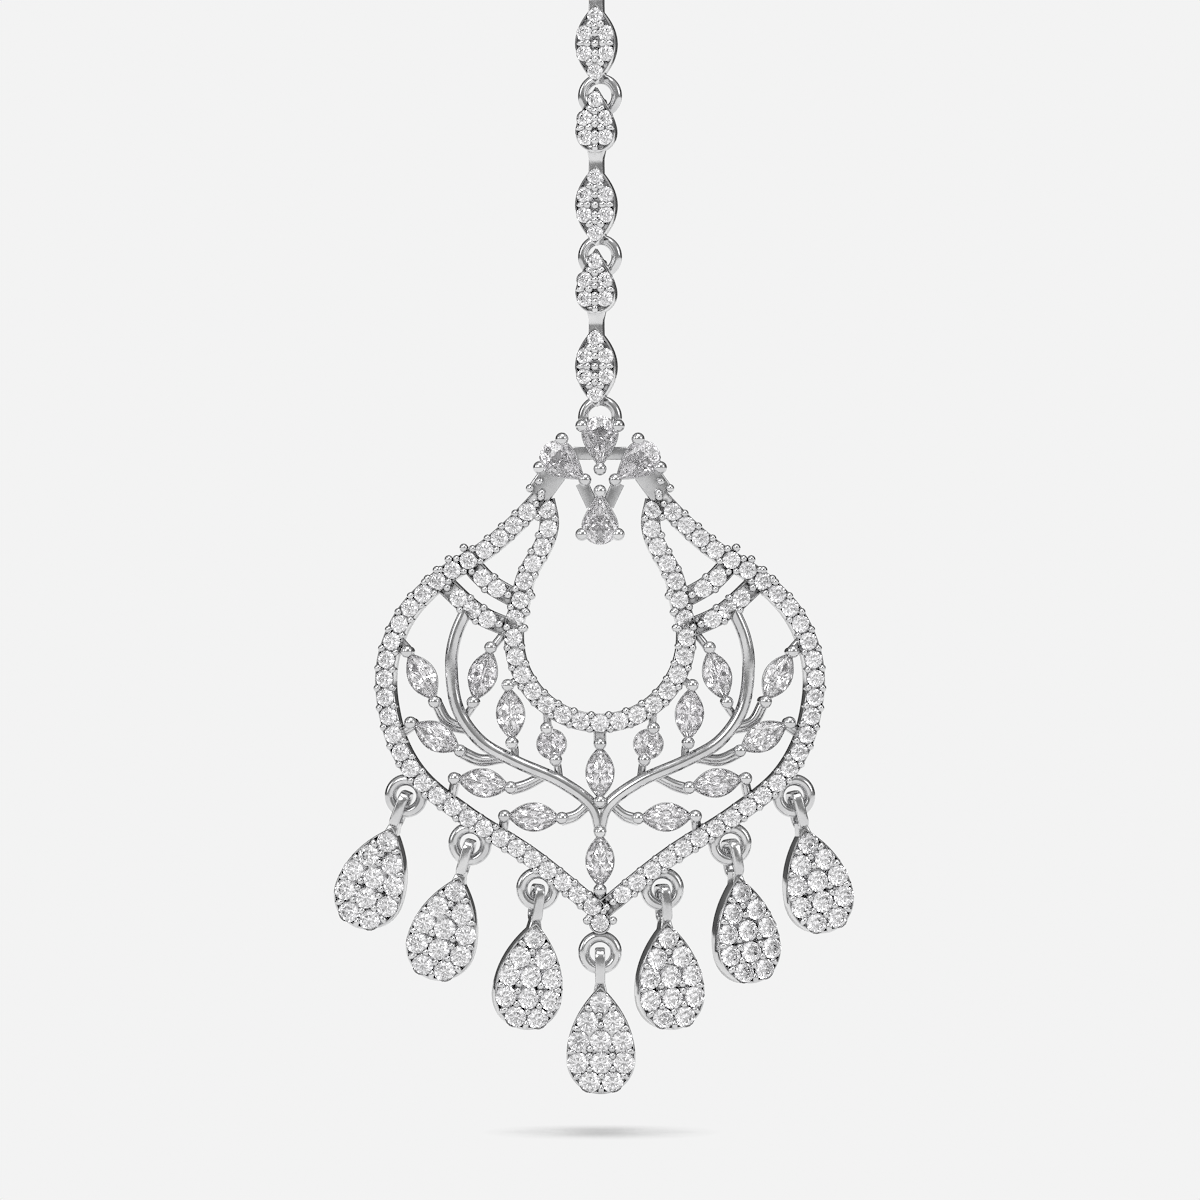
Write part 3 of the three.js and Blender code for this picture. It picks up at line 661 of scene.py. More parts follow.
# A bail's middle line in side view, round the wire that it holds: a loop with flat sides
def bailLine(inner, thick, rise=0.0, steps=6):
    radius = inner + thick / 2
    corner = 0.62 * radius
    line = []
    for y, z, start in ((1, 1, 0), (-1, 1, 90), (-1, -1, 180), (1, -1, 270)):
        for i in range(steps + 1):
            a = math.radians(start + 90 * i / steps)
            middle = Vector((0, y * (radius - corner), z * (radius - corner) + (rise if z > 0 else 0)))
            line.append(middle + Vector((0, corner * math.cos(a), corner * math.sin(a))))
    return line


def bailPiece(name, line, width, place):
    section = boxSection(width, chain["bailThick"], chain["bailCorner"])
    made = bandPiece(name, [(line, True)], section, (1, 0, 0))
    movedTo(made, place)
    return made


def hookPiece():
    bendCentre = chain["hookWire"] / 2 - chain["hookBend"]
    eyeCentre = chain["ringRadius"] - chain["hookDrop"]
    r = chain["hookBend"]
    points = [Vector((-r, 0, bendCentre - chain["hookTail"]))]
    for angle in range(180, -1, -30):
        a = math.radians(angle)
        points.append(Vector((r * math.cos(a), 0, bendCentre + r * math.sin(a))))
    points += [Vector((across * r, 0, bendCentre + down * (eyeCentre - bendCentre)))
               for across, down in hookCurve]
    points.append(Vector((0, 0, eyeCentre + chain["ringRadius"])))
    wire = [chainTurn @ p for p in smoothLine(points)]
    half = chain["hookWire"] / 2
    first, more = hookTaper
    thick = [half * math.sin(math.radians(min(90, first + more * i))) for i in range(len(wire))]
    eye = [chainTurn @ (p + Vector((0, 0, eyeCentre))) for p in roundLine(chain["ringRadius"])]
    return wirePiece("hook_wire", [(wire, thick, False), (eye, chain["ringWire"] / 2, True)], 20)


# A stone cup: an outline shell, open to the front down to a floor
def cupProfile(depth, floor):
    return [(0.2, floor), (0.17, 0.08), (0.13, 0.0), (0.06, 0.0), (0.0, 0.07), (0.0, depth - 0.16),
            (0.05, depth - 0.05), (0.16, depth)]


# Middle heights of a chain unit's pear and leaf, and their outlines at an inset
pearFoot = chain["tipRise"] - chain["pearLength"]
leafTop = pearFoot - chain["neckLength"]
pearMiddle = Vector((0, 0, chain["tipRise"] - chain["pearLength"] / 2))
leafMiddle = Vector((0, 0, leafTop - chain["leafLength"] / 2))


def chainPear(inset=0.0):
    return pearLine(chain["pearWidth"] - 2 * inset, chain["pearLength"] - 2.8 * inset)


def chainLeaf(inset=0.0):
    return uprightLeafLine(chain["leafWidth"] - 2 * inset, chain["leafLength"] - 3.4 * inset)


def stationParts(i, place):
    depth = chain["depth"]
    profile = cupProfile(depth, chain["floor"])
    front = Vector((0, frontPlane, 0))
    cups = [plate("cup", outlineAt, profile, place @ Matrix.Translation(middle + front))
            for outlineAt, middle in ((chainPear, pearMiddle), (chainLeaf, leafMiddle))]
    neck = block("neck", place, [
        (Vector((0, frontPlane + (depth + back) / 2, pearFoot + up)), 2 * half, depth - back)
        for up, half, back in neckBoxes], corner=0.14)
    z = leafTop - chain["leafLength"] + 0.75 * chain["ringTuck"] + chain["ringWire"] / 4
    tab = block("tab", place, [(Vector((0, stationBack + back, z)), 2 * half, tabHeight)
                               for back, half in tabBoxes], upward=False)
    return joined(f"chain_station_{i + 1}", cups + [neck, tab])


def chainPieces():
    finished(hookPiece(), "chain", "silver", "hair_hook")
    stones, grains, prongs, ringRows = [], [], [], []
    outlines = [[p + middle for p in outlineAt()]
                for outlineAt, middle in ((chainPear, pearMiddle), (chainLeaf, leafMiddle))]
    fields = [rowSpots(chainPearRows, chain["tipRise"], chain["pearLength"], chain["pearWidth"]),
              rowSpots(chainLeafRows, leafTop, chain["leafLength"], chain["leafWidth"])]
    size = chain["stone"] / paveCut["stone"]
    proud = frontPlane - paveCut["proud"] * size
    for i, place in enumerate(unitPlaces):
        finished(stationParts(i, place), "chain", "silver", f"chain_unit_{i + 1}", material=chainSilver)
        for field, outline in zip(fields, outlines):
            stones += [(place @ Matrix.Translation((x, proud, z)), size) for x, z in field]
            bezels = [(x, z, chain["stone"] / 2) for x, z in field]
            found = grainSpots(bezels, chain["grainRadius"])
            between, edging = edgeSpots(filledSpots(found, bezels, outline, chain["fillRadius"]), outline)
            grains += grainRow(place, between, frontPlane, chain["grainSize"])
            prongs += grainRow(place, edging, frontPlane, chain["prongSize"])
        ringLine = [place @ (p + Vector((0, 0, chain["ringRadius"] - unitPitch)))
                    for p in roundLine(chain["ringRadius"])]
        ringRows.append((ringLine, chain["ringWire"] / 2, True))
        bail = bailPiece(f"chain_bail_{i + 1}", bailLine(bailInner, chain["bailThick"]), bailWidth, place)
        finished(bail, "chain", "silver")
    finished(wirePiece("chain_rings", ringRows, 18), "chain", "silver")
    finished(scatterPiece("chain_stones", smallStone, stones, stoneWhite, paveCut["tilt"], 180, 3),
             "chain", "stone")
    finished(scatterPiece("chain_grains", grainCopy, grains, chainSilver, 4), "chain", "silver")
    finished(scatterPiece("chain_prongs", prongCopy, prongs, chainSilver, 4), "chain", "silver")


chainPieces()
print("stage: chain done")

# Pendant frame: shares of the half width and of the height above the tip

rim = {"width": 36.8, "height": 35.3, "bend": 88, "rail": 1.6, "depth": 1.6, "stone": 1.5, "pitch": 1.64,
       "bowl": 7.4, "bowlUp": 0.665, "stem": 1.1, "stemProud": 0.25, "twig": 0.7, "twigLap": 0.1,
       "tipDrop": 0.9, "tipBoss": 0.95, "tipFloor": 0.8, "crowding": 0.85, "topGap": 0.9, "beadSize": 1.1,
       "beadClear": 0.27, "beadGap": 0.66, "prongOut": 0.12, "fine": 0.1, "railStep": 0.4}
leafCut = {"width": 2.4, "length": 4.6}
pearCut = {"width": 3.05, "length": 4.4, "clawAngle": 23}
roundCut = {"width": 2.5, "lean": 16}
mainCut = {"crown": 0.55, "pavilion": 0.85, "table": 0.58, "clawReach": 0.15, "clawRise": 0.85,
           "keelGap": 0.1, "keelDepth": 0.4}

outerRail = [(0.273, 1.0), (0.389, 0.937), (0.525, 0.876), (0.747, 0.801), (0.903, 0.718), (0.981, 0.629),
             (1.0, 0.559), (0.988, 0.489), (0.94, 0.401), (0.838, 0.319), (0.623, 0.231), (0.324, 0.133),
             (0.0, 0.0)]
keyholeNeck = [(0.255, 0.993), (0.236, 0.937), (0.259, 0.889), (0.345, 0.806), (0.372, 0.742)]
upperBand = [(0.63, 0.855), (0.519, 0.794), (0.366, 0.748)]
lowerBand = [(0.747, 0.801), (0.567, 0.719), (0.405, 0.681)]
stemLine = [(0.62, 0.728), (0.669, 0.667), (0.69, 0.602), (0.662, 0.492), (0.556, 0.412), (0.398, 0.364),
            (0.178, 0.313), (0.03, 0.253), (0.0, 0.205)]
# Side leaves: place, lean, then where the post and the twig's bow and end reach
sideLeaves = [
    {"at": (0.826, 0.567), "lean": 61, "post": (0.955, 0.665), "bow": (0.708, 0.46), "twig": (0.612, 0.446)},
    {"at": (0.544, 0.571), "lean": 108, "post": (0.43, 0.685), "bow": (0.603, 0.49), "twig": (0.635, 0.468)},
    {"at": (0.415, 0.477), "lean": 86, "post": (0.36, 0.569), "bow": (0.4, 0.39), "twig": (0.398, 0.366)},
    {"at": (0.759, 0.422), "lean": 29, "post": (0.958, 0.425), "bow": (0.556, 0.37), "twig": (0.45, 0.377)},
    {"at": (0.541, 0.311), "lean": 9, "post": (0.7, 0.262), "bow": (0.345, 0.31), "twig": (0.26, 0.333)},
    {"at": (0.307, 0.229), "lean": 2, "post": (0.455, 0.18), "bow": (0.11, 0.237), "twig": (0.055, 0.262)}]
middleLeaves = [{"up": 0.336, "above": 0.455, "below": 0.24}, {"up": 0.124, "above": 0.215, "below": 0.02}]
sideRound = {"at": (0.2245, 0.405), "above": (0.25, 0.487), "below": (0.19, 0.318)}
crownPears = [("pear_top", 0, 0.145, 180), ("pear_left", -0.71, 0.56, -128), ("pear_right", 0.71, 0.56, 128),
              ("pear_bottom", 0, 1.64, 0)]
# Drops: side, share of the rail, lean in the plane and turn about their length
dropPlaces = [(-1, 0.62, -21, 0), (-1, 0.748, -16, 0), (-1, 0.892, -6, 16), (0, 1, 0.5, 0),
              (1, 0.892, 4, 14), (1, 0.748, 9, 18), (1, 0.62, 14, 6)]

# Beads that stand out past the rails: into the keyhole, outside the shoulders, beside the tip
shoulderProngs = [(0.318, 0.762), (0.341, 0.722), (0.345, 0.684), (0.63, 0.878), (0.701, 0.851),
                  (0.755, 0.824), (0.797, 0.803)]
railHeadBeads = [(0.323, 1.021), (0.27, 1.01), (0.281, 1.038)]
tipProngs = [(0.06, -0.02)]
# The web behind the tip: height and half width of its boxes, then their depth and thickness
tipWeb = [(-0.2, 0.5), (0.6, 0.62), (1.35, 0.5)]
webDepth, webThick = 0.95, 1.2
pivotZ = cad["joints"][0]["pos_m"][2] / mm
crownDrop = 1.218 * pearCut["length"]
railBack = frontPlane + rim["depth"]
keelSink = mainCut["pavilion"] + mainCut["keelGap"]
twigPlane = frontPlane + keelSink + mainCut["keelDepth"] / 2 - rim["twigLap"]
stemPlane = frontPlane - rim["stemProud"] + rim["stem"] / 2
pendant = Matrix.Translation((0, 0, pivotZ))


def heightOf(share):
    return -crownDrop - rim["height"] * (1 - share)


def framePoint(at, side=1, depth=0.0):
    return Vector((side * at[0] * rim["width"] / 2, depth, heightOf(at[1])))


def sagAt(x):
    return x * x / (2 * rim["bend"])


def bent(p):
    return Vector((p.x - p.x * (p.y - frontPlane) / rim["bend"], p.y + sagAt(p.x), p.z))


# Where a piece sits on the bent frame, in the pendant's own place
def seat(x, z, turn=0.0, depth=frontPlane):
    place = Matrix.Translation((x, depth + sagAt(x), z))
    place = place @ Matrix.Rotation(math.atan(x / rim["bend"]), 4, "Z")
    return pendant @ place @ Matrix.Rotation(-math.radians(turn), 4, "Y")


def keyholeLine():
    left, right = ([framePoint(at, side) for at in keyholeNeck] for side in (-1, 1))
    centre = heightOf(rim["bowlUp"])
    bowl = []
    for angle in range(6, -187, -24):
        a = math.radians(angle)
        bowl.append(Vector((rim["bowl"] * math.cos(a), 0, centre + rim["bowl"] * math.sin(a))))
    return smoothLine(right + bowl + left[::-1])


# Rails are open channels: two walls and a floor, with the stones between the walls
channel = {"wall": 0.15, "lip": 0.05, "floor": 0.85, "corner": 0.16}


def channelSection():
    half, wall, lip = rim["rail"] / 2, channel["wall"], channel["lip"]
    deep, corner = rim["depth"], channel["corner"]
    right = [(-channel["floor"], 0.35 * half), (-channel["floor"] + 0.08, half - wall), (-lip, half - wall),
             (0.0, half - wall + lip), (0.0, half - lip), (-lip, half), (corner - deep, half),
             (-deep + 0.3 * corner, half - 0.3 * corner), (-deep, half - corner)]
    return right + [(x, -y) for x, y in right[::-1]]


def sideLine(rows, side):
    return smoothLine([framePoint(at, side) for at in rows])


def railLines():
    lines = [("outer_rail_left", sideLine(outerRail, -1)), ("outer_rail_right", sideLine(outerRail, 1)),
             ("keyhole_rail", keyholeLine())]
    for side, hand in ((-1, "left"), (1, "right")):
        lines.append((f"upper_band_{hand}", sideLine(upperBand, side)))
        lines.append((f"lower_band_{hand}", sideLine(lowerBand, side)))
    return lines


# Stones along the rails, leaving out those that would sit on one placed before
def railStones(lines):
    tip = Vector((0, 0, heightOf(0) - rim["tipDrop"]))
    placed = [(tip, 0.0)]
    for name, line in lines:
        length = lineLength(line)
        start = rim["topGap"] if name.startswith("outer") else 0.0
        count = round((length - start) / rim["pitch"])
        for i in range(count):
            point, way = alongLine(line, (start + (i + 0.5) * (length - start) / count) / length)
            if all((p - point).length > rim["crowding"] * rim["stone"] for p, turn in placed):
                placed.append((point, math.degrees(math.atan2(way.z, way.x))))
    return placed


def fineLine(line):
    return evenLine(line, round(lineLength(line) / rim["fine"]))


# Beads on the middle line wherever a channel has no stone
def channelBeads(lines, placed):
    beads = []
    for name, line in lines:
        for spot in fineLine(line):
            clear = all((p - spot).length > rim["stone"] / 2 + rim["beadClear"] for p, turn in placed)
            if clear and all((b - spot).length > rim["beadGap"] for b in beads):
                beads.append(spot)
    return beads


# Prongs beside a rail are drawn in until they stand on its wall
def heldSpot(spot, lines):
    near = min((p for name, line in lines for p in fineLine(line)), key=lambda p: (p - spot).length)
    away = spot - near
    return near + away.normalized() * min(away.length, rim["rail"] / 2 + rim["prongOut"])


def bossLine(inset):
    return roundLine(rim["tipBoss"] - inset)


def tipPiece():
    place = pendant @ Matrix.Translation((0, frontPlane, heightOf(0) - rim["tipDrop"]))
    cup = plate("tip_boss", bossLine, cupProfile(rim["depth"], rim["tipFloor"]), place)
    web = block("web", place, [(Vector((0, webDepth, z)), 2 * half, webThick) for z, half in tipWeb])
    return joined("tip_boss", [cup, web])


def railPieces():
    lines = railLines()
    for name, line in lines:
        count = max(12, round(lineLength(line) / rim["railStep"]))
        path = [p + Vector((0, frontPlane, pivotZ)) for p in evenLine(line, count)]
        made = bandPiece(name, [(path, False)], channelSection(), (0, -1, 0), rim["bend"])
        finished(made, "pendant", "silver", "frame")
    finished(tipPiece(), "pendant", "silver", "frame", material=silver)
    placed = railStones(lines)
    stones = [(seat(p.x, p.z, turn, frontPlane - paveCut["proud"]), rim["stone"] / paveCut["stone"])
              for p, turn in placed]
    finished(scatterPiece("rail_stones", smallStone, stones, stoneWhite, paveCut["tilt"], 180, 5),
             "pendant", "stone", "frame")
    spots = grainSpots([(p.x, p.z, rim["stone"] / 2) for p, turn in placed], grain["radius"])
    grains = [(seat(spot.x, spot.y), 1.0) for spot, lead in spots]
    beads = channelBeads(lines, placed)
    for side in (-1, 1):
        beads += [heldSpot(framePoint(at, side), lines) for at in shoulderProngs]
        beads += [framePoint(at, side) for at in railHeadBeads + tipProngs]
    grains += [(seat(spot.x, spot.z), rim["beadSize"]) for spot in beads]
    finished(scatterPiece("rail_grains", grainCopy, grains, silver, 5), "pendant", "silver", "frame")
    print("stage: rails done,", len(stones), "stones and", len(grains), "grains")


railPieces()


# Main stones: name, outline, culet, claw places round it and place on the frame
def clawSpots(kind):
    out = mainCut["clawReach"]
    if kind == "leaf":
        return [(leafCut["length"] / 2 + out, 0.0), (-leafCut["length"] / 2 - out, 0.0)]
    if kind == "round":
        return [(0.0, roundCut["width"] / 2 + out), (0.0, -roundCut["width"] / 2 - out)]
    low = (pearCut["width"] - pearCut["length"]) / 2
    reach = pearCut["width"] / 2 + out
    spots = [(0.0, pearCut["length"] / 2 + out)]
    for angle in (-pearCut["clawAngle"], pearCut["clawAngle"] - 180):
        a = math.radians(angle)
        spots.append((reach * math.cos(a), low + reach * math.sin(a)))
    return spots


def outlineOf(kind, inset=0.0, count=32):
    if kind == "leaf":
        return leafLine(leafCut["width"] - 2 * inset, leafCut["length"] - 4 * inset, count)
    if kind == "round":
        return roundLine(roundCut["width"] / 2 - inset, count)
    return pearLine(pearCut["width"] - 2 * inset, pearCut["length"] - 3 * inset, count)


def mainStones():
    rows = [(name, "pear", seat(across * pearCut["length"], -down * pearCut["length"], turn))
            for name, across, down, turn in crownPears]
    for side, hand in ((-1, "left"), (1, "right")):
        for i, leaf in enumerate(sideLeaves):
            at = framePoint(leaf["at"], side)
            turn = leaf["lean"] if side > 0 else 180 - leaf["lean"]
            rows.append((f"marquise_{hand}_{i + 1}", "leaf", seat(at.x, at.z, turn)))
        at = framePoint(sideRound["at"], side)
        rows.append((f"round_{hand}", "round", seat(at.x, at.z, -side * roundCut["lean"])))
    for i, leaf in enumerate(middleLeaves):
        rows.append((f"marquise_middle_{i + 1}", "leaf", seat(0, heightOf(leaf["up"]), 90)))
    return rows


gallery = {"wire": 0.19, "inset": 0.12, "depth": 0.34, "lowInset": 0.5, "lowWire": 0.24}


def settingPieces():
    claws, loops = [], []
    depth = keelSink + mainCut["keelDepth"] / 2
    for name, kind, place in mainStones():
        low = (pearCut["width"] - pearCut["length"]) / 4 if kind == "pear" else 0.0
        stone = brilliant(name + "_stone", outlineOf(kind), mainCut["crown"], mainCut["pavilion"],
                          mainCut["table"], Vector((0, 0, low)))
        movedTo(stone, place)
        finished(stone, "pendant", "stone", name, material=stoneClear)
        ends = clawSpots(kind)
        rise = claw["stand"] - mainCut["clawRise"]
        claws += [(place @ Matrix.Translation((x, rise, z)), 1.0) for x, z in ends]
        for inset, back, half, count in ((gallery["inset"], gallery["depth"], gallery["wire"], 48),
                                         (gallery["lowInset"], depth, gallery["lowWire"], 32)):
            outline = [place @ (p + Vector((0, back, 0))) for p in outlineOf(kind, inset, count)]
            loops.append((outline, half, True))
        feet = [Vector((x, depth, z)) for x, z in ends]
        keels = [[Vector((0, depth, low)), foot] for foot in feet] if kind == "pear" else [feet]
        loops += [([place @ p for p in keel], mainCut["keelDepth"] / 2, False) for keel in keels]
    finished(scatterPiece("claws", clawCopy, claws, clawSilver, 2.0, 0, 7), "pendant", "silver", "frame")
    finished(wirePiece("galleries", loops, 10, litOpenSilver), "pendant", "silver", "frame")
    print("stage: main stones done,", len(claws), "claws")


settingPieces()


def onFrame(points):
    return [pendant @ bent(p) for p in points]


# Side leaves whose post and twig have a second wire under them
doubled = (0, 3, 4, 5)
underWire = {"half": 0.42, "out": 0.16, "down": 0.3, "back": 0.3}


def leanWay(lean, side):
    return Vector((side * math.cos(math.radians(lean)), 0, math.sin(math.radians(lean))))


def wireworkPieces():
    for side, hand in ((-1, "left"), (1, "right")):
        stem = smoothLine([framePoint(at, side, stemPlane) for at in stemLine], 10)
        made = wirePiece(f"stem_{hand}", [(onFrame(stem), rim["stem"] / 2, False)], 24)
        finished(made, "pendant", "silver", "frame")
    rows = []
    half = rim["twig"] / 2
    for side in (-1, 1):
        lower = Vector((side * underWire["out"], underWire["back"], -underWire["down"]))
        for i, leaf in enumerate(sideLeaves):
            centre, postEnd, bow, twigEnd = (framePoint(leaf[key], side, twigPlane)
                                             for key in ("at", "post", "bow", "twig"))
            reach = leanWay(leaf["lean"], side) * (leafCut["length"] / 2 + mainCut["clawReach"])
            lines = [[centre + reach, postEnd], smoothLine([centre - reach, bow, twigEnd], 8)]
            rows += [(onFrame(line), half, False) for line in lines]
            if i in doubled:
                rows += [(onFrame([p + lower for p in line]), underWire["half"], False) for line in lines]
        centre = framePoint(sideRound["at"], side, twigPlane)
        reach = leanWay(90 - roundCut["lean"], side) * (roundCut["width"] / 2 + mainCut["clawReach"])
        for end, sign in (("above", 1), ("below", -1)):
            line = [framePoint(sideRound[end], side, twigPlane), centre + reach * sign]
            rows.append((onFrame(line), half, False))
    for leaf in middleLeaves:
        for end, sign in (("above", 1), ("below", -1)):
            heights = (heightOf(leaf[end]), heightOf(leaf["up"]) + sign * leafCut["length"] / 2)
            rows.append((onFrame([Vector((0, twigPlane, z)) for z in heights]), rim["stem"] / 2, False))
    finished(wirePiece("twigs", rows, 14), "pendant", "silver", "frame")


wireworkPieces()

# Bars by width, depth and corner; the solder's boxes by depth from the station's back and half width
crown = {"bar": (1.1, 0.7, 0.12), "across": (0.52, 0.37), "upperV": (0.36, 0.94), "lowerV": (0.15, 1.38),
         "shoulder": (0.82, 0.78), "head": (2.2, 1.2, 0.15), "headOut": 0.42, "headDepth": 0.85}
solderBoxes = [(-0.45, 0.4), (-0.15, 0.4), (0.12, 0.5)]
solderHeight = 1.1


def crownPoint(share, side):
    return Vector((side * share[0] * pearCut["length"], twigPlane, -share[1] * pearCut["length"]))


def crownPieces():
    thin = [[crownPoint(crown["across"], side) for side in (-1, 1)]]
    wide = []
    for side in (-1, 1):
        thin.append([crownPoint(crown[end], side) for end in ("upperV", "lowerV")])
        top, foot = crownPoint(crown["shoulder"], side), framePoint(outerRail[0], side)
        way = (foot - top).normalized()
        out = Vector((-way.z, 0, way.x)) * side * crown["headOut"]
        out.y = frontPlane + crown["headDepth"]
        wide.append([Vector((p.x, 0, p.z)) + out for p in (top, foot)])
    for name, lines, (width, depth, corner) in (("crown_bars", thin, crown["bar"]),
                                                ("crown_shoulders", wide, crown["head"])):
        made = bandPiece(name, [(onFrame(line), False) for line in lines], boxSection(depth, width, corner),
                         (0, -1, 0), material=shadedBarSilver)
        finished(made, "pendant", "silver", "frame")
    bail = bailPiece("crown_bail", bailLine(bailInner, chain["bailThick"]), bailWidth, pendant)
    finished(bail, "pendant", "silver", "frame")
    solder = block("crown_solder", pendant, [(Vector((0, stationBack + back, 0)), 2 * half, solderHeight)
                                             for back, half in solderBoxes], upward=False)
    finished(solder, "pendant", "silver", "frame", material=silver)

crownPieces()
print("stage: stems, twigs and crown done")

# Drops

drop = {"width": 5.9, "length": 9.2, "depth": 1.5, "stone": 1.8, "ringWire": 1.0, "ringRadius": 1.37,
        "ringTuck": 0.87, "tipTuck": 0.25, "bailRise": 0.54, "bailFoot": 0.3, "floor": 0.95,
        "fullness": 0.55, "edge": 0.7, "rimInset": 0.45, "grainRadius": 0.3, "fillRadius": 0.34,
        "grainSize": 1.08}
dropRows = [(0.148, [0]), (0.33, [-0.375, 0.375]), (0.51, [-0.64, 0, 0.64]), (0.708, [-0.67, 0, 0.67]),
            (0.888, [-0.335, 0.335])]
# The drop's stem: height from the plate's top, half width and thickness
dropBoxes = [(-1.0, 0.7, 1.3), (-0.5, 0.56, 1.36), (0, 0.46, 1.3), (0.45, 0.42, 1.05)]


def dropPlace(side, along, lean=0.0, turn=0.0):
    outer = drop["ringRadius"] + drop["ringWire"] / 2
    centre = Vector((0, 0, heightOf(0) - rim["tipDrop"] - rim["tipBoss"] - outer + drop["tipTuck"]))
    if side:
        centre, way = alongLine(sideLine(outerRail, 1), along)
        centre += Vector((-way.z, 0, way.x)) * (rim["rail"] / 2 + outer - drop["ringTuck"])
        centre.x *= side
    depth = railBack - drop["ringWire"] / 2
    return seat(centre.x, centre.z, lean, depth) @ Matrix.Rotation(math.radians(turn), 4, "Z")


def dropLine(inset=0.0, count=64):
    return pearLine(drop["width"] - 2 * inset, drop["length"] - 2.8 * inset, count, drop["fullness"])


def dropPieces():
    inner = drop["ringWire"] / 2 + chain["bailRoom"]
    outer = inner + chain["bailThick"]
    width = drop["ringRadius"] - drop["ringWire"] / 2
    plateTop = -drop["ringRadius"] - outer - chain["lap"]
    front = -drop["depth"] / 2
    field = rowSpots(dropRows, plateTop, drop["length"], drop["width"])
    size = drop["stone"] / paveCut["stone"]
    proud = front - paveCut["proud"] * size
    outline = [p + Vector((0, 0, plateTop - drop["length"] / 2)) for p in dropLine(count=96)]
    bezels = [(x, z, drop["stone"] / 2) for x, z in field]
    found = filledSpots(grainSpots(bezels, drop["grainRadius"]), bezels, outline, drop["fillRadius"])
    between, edging = edgeSpots(found, outline, drop["edge"], drop["rimInset"])
    bailFoot = Vector((0, 0, -drop["ringRadius"] - drop["bailFoot"]))
    line = [p + bailFoot for p in bailLine(inner, chain["bailThick"], drop["bailRise"] + drop["bailFoot"])]
    stones, grains, prongs, ringRows = [], [], [], []
    for i, (side, along, lean, turn) in enumerate(dropPlaces):
        place = dropPlace(side, along, lean, turn)
        middle = place @ Matrix.Translation((0, front, plateTop - drop["length"] / 2))
        cup = plate("cup", dropLine, cupProfile(drop["depth"], drop["floor"]), middle)
        stem = block("drop_stem", place, [(Vector((0, 0, plateTop + up)), 2 * half, thick)
                                          for up, half, thick in dropBoxes])
        loop = bailPiece("bail", line, width, place)
        finished(joined(f"drop_{i + 1}_plate", [cup, stem, loop]), "pendant", "silver", f"drop_{i + 1}",
                 material=silver)
        stones += [(place @ Matrix.Translation((x, proud, z)), size) for x, z in field]
        grains += grainRow(place, between, front, drop["grainSize"])
        prongs += grainRow(place, edging, front, 1.0)
        ring = dropPlace(side, along)
        ringRows.append(([ring @ p for p in roundLine(drop["ringRadius"])], drop["ringWire"] / 2, True))
    finished(wirePiece("drop_rings", ringRows, 20), "pendant", "silver", "frame")
    finished(scatterPiece("drop_stones", smallStone, stones, stoneWhite, paveCut["tilt"], 180, 11),
             "pendant", "stone")
    finished(scatterPiece("drop_grains", grainCopy, grains, silver, 4, 0, 13), "pendant", "silver")
    finished(scatterPiece("drop_prongs", prongCopy, prongs, silver, 4, 0, 17), "pendant", "silver")
    print("stage: drops done,", len(stones), "stones and", len(grains), "grains")


dropPieces()
for spare in (smallStone, grainCopy, prongCopy, clawCopy):
    bpy.data.objects.remove(spare)

# Studio: floor, world light and camera

studio = {"view": 102.0, "viewCentre": -70.8, "distance": 600.0, "sensor": 36.0, "floor": -116.1,
          "floorReach": 3000.0, "pale": 0.896, "shadowReach": 9.0, "shadowFull": 0.75, "shadowDark": 0.3,
          "sharpen": 0.09, "bounces": 20}


# The floor glows evenly, as pale as the backdrop; a painted shadow darkens it only close under the lowest
# drop, by how shut in it is there
def floorPiece():
    reach = studio["floorReach"]
    corners = [Vector((x * reach, y * reach, studio["floor"]))
               for x, y in ((-1, -1), (1, -1), (1, 1), (-1, 1))]
    floor = meshObject("studio_floor", corners, [(0, 1, 2, 3)])
    material = bpy.data.materials.new("paleFloor")
    material.use_nodes = True
    tree = material.node_tree
    tree.nodes.clear()
    paintedShadeOcclusion = nodeIn(tree, "ShaderNodeAmbientOcclusion", {"Distance": studio["shadowReach"] * mm}, samples=16)
    paintedFloorShadow = softIn(tree, paintedShadeOcclusion.outputs["AO"], (studio["shadowFull"], 1.0), studio["shadowDark"], studio["pale"])
    glow = nodeIn(tree, "ShaderNodeEmission", {"Color": paintedFloorShadow})
    nodeIn(tree, "ShaderNodeOutputMaterial", {"Surface": glow.outputs[0]})
    floor.data.materials.append(material)


# Soft boxes in the world light: way to the box, half its width in degrees and its brightness
softBoxes = [((-0.42, -0.78, 0.46), 14, 2.3), ((0.8, -0.45, 0.35), 13, 1.6), ((-0.85, -0.25, 0.3), 12, 1.4),
             ((0.1, -0.35, 0.93), 20, 1.4), ((0.35, -0.8, -0.5), 9, 0.8)]
tent = {"front": 0.26, "top": 0.3, "behind": 0.4, "through": 0.75, "sparkle": 1.45, "rise": (0.1, 0.9),
        "back": (-0.1, 0.4), "boxEdge": 1.2}


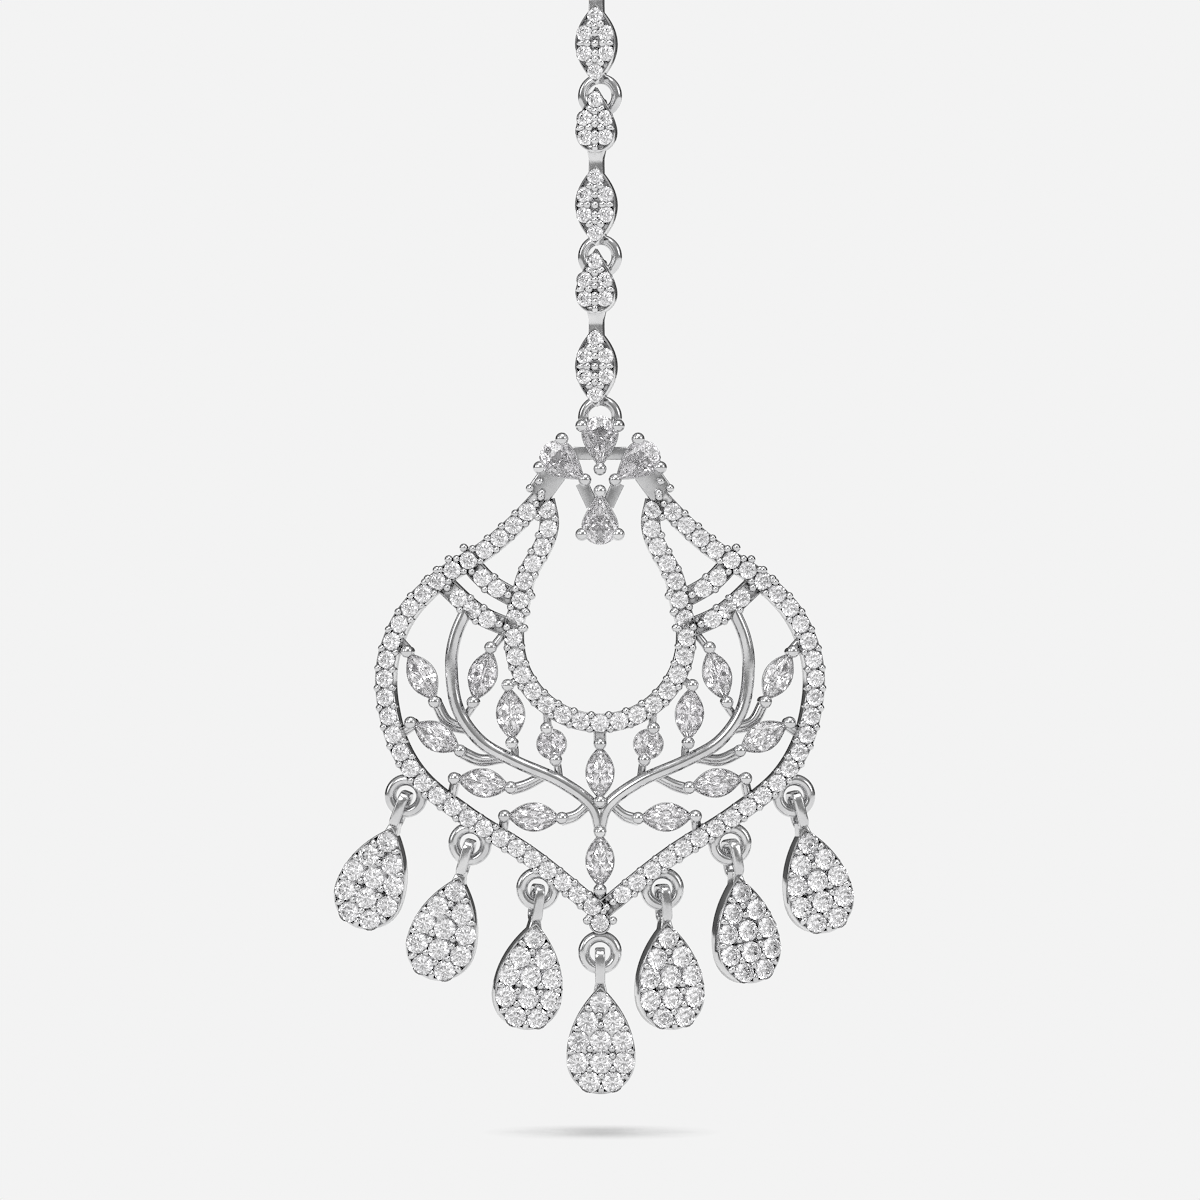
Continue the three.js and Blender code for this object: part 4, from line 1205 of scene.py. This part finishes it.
def studioWorld():
    world = bpy.data.worlds.new("studio")
    bpy.context.scene.world = world
    world.use_nodes = True
    tree = world.node_tree
    tree.nodes.clear()
    way = nodeIn(tree, "ShaderNodeTexCoord").outputs["Generated"]
    split = nodeIn(tree, "ShaderNodeSeparateXYZ", {0: way}).outputs
    rays = nodeIn(tree, "ShaderNodeLightPath").outputs
    through = rays["Is Transmission Ray"]
    total = softIn(tree, split["Z"], tent["rise"], tent["front"], tent["front"] + tent["top"])
    for to, half, bright in softBoxes:
        dot = nodeIn(tree, "ShaderNodeVectorMath", {0: way, 1: Vector(to).normalized()},
                     operation="DOT_PRODUCT").outputs["Value"]
        near, far = math.cos(math.radians(half)), math.cos(math.radians(half * tent["boxEdge"]))
        total = mathNode(tree, "ADD", total, softIn(tree, dot, (far, near), 0.0, bright))
    behind = softIn(tree, through, (0.0, 1.0), tent["behind"], tent["through"])
    total = mathNode(tree, "MULTIPLY", total, softIn(tree, split["Y"], tent["back"], 1.0, behind))
    gain = softIn(tree, through, (0.0, 1.0), 1.0, tent["sparkle"])
    light = nodeIn(tree, "ShaderNodeBackground", {"Color": mathNode(tree, "MULTIPLY", total, gain)})
    seen = nodeIn(tree, "ShaderNodeBackground", {"Color": (studio["pale"],) * 3 + (1,)})
    mix = nodeIn(tree, "ShaderNodeMixShader", {
        "Fac": rays["Is Camera Ray"], 1: light.outputs[0], 2: seen.outputs[0]})
    nodeIn(tree, "ShaderNodeOutputWorld", {"Surface": mix.outputs[0]})


def studioCamera():
    lens = bpy.data.cameras.new("studio_camera")
    camera = bpy.data.objects.new("studio_camera", lens)
    bpy.context.scene.collection.objects.link(camera)
    camera.location = Vector((0, -studio["distance"], studio["viewCentre"])) * mm
    camera.rotation_euler = Euler((math.radians(90), 0, 0))
    lens.sensor_width = studio["sensor"]
    lens.lens = studio["sensor"] * (studio["distance"] + frontPlane) / studio["view"]
    lens.clip_start, lens.clip_end = 0.05, 20
    bpy.context.scene.camera = camera


floorPiece()
studioWorld()
studioCamera()
scene = bpy.context.scene
scene.view_settings.view_transform = "Standard"
scene.cycles.max_bounces = 24
scene.cycles.transmission_bounces = studio["bounces"]
scene.cycles.glossy_bounces = studio["bounces"]
scene.cycles.caustics_reflective = False
scene.cycles.caustics_refractive = False

# A photographer's finish: the picture is slightly sharpened
scene.use_nodes = True
finish = scene.node_tree
finish.nodes.clear()
picture = nodeIn(finish, "CompositorNodeRLayers").outputs["Image"]
crisp = nodeIn(finish, "CompositorNodeFilter", {"Image": picture, "Fac": studio["sharpen"]},
               filter_type="SHARPEN_DIAMOND")
nodeIn(finish, "CompositorNodeComposite", {"Image": crisp.outputs["Image"]})
print("stage: studio ready")
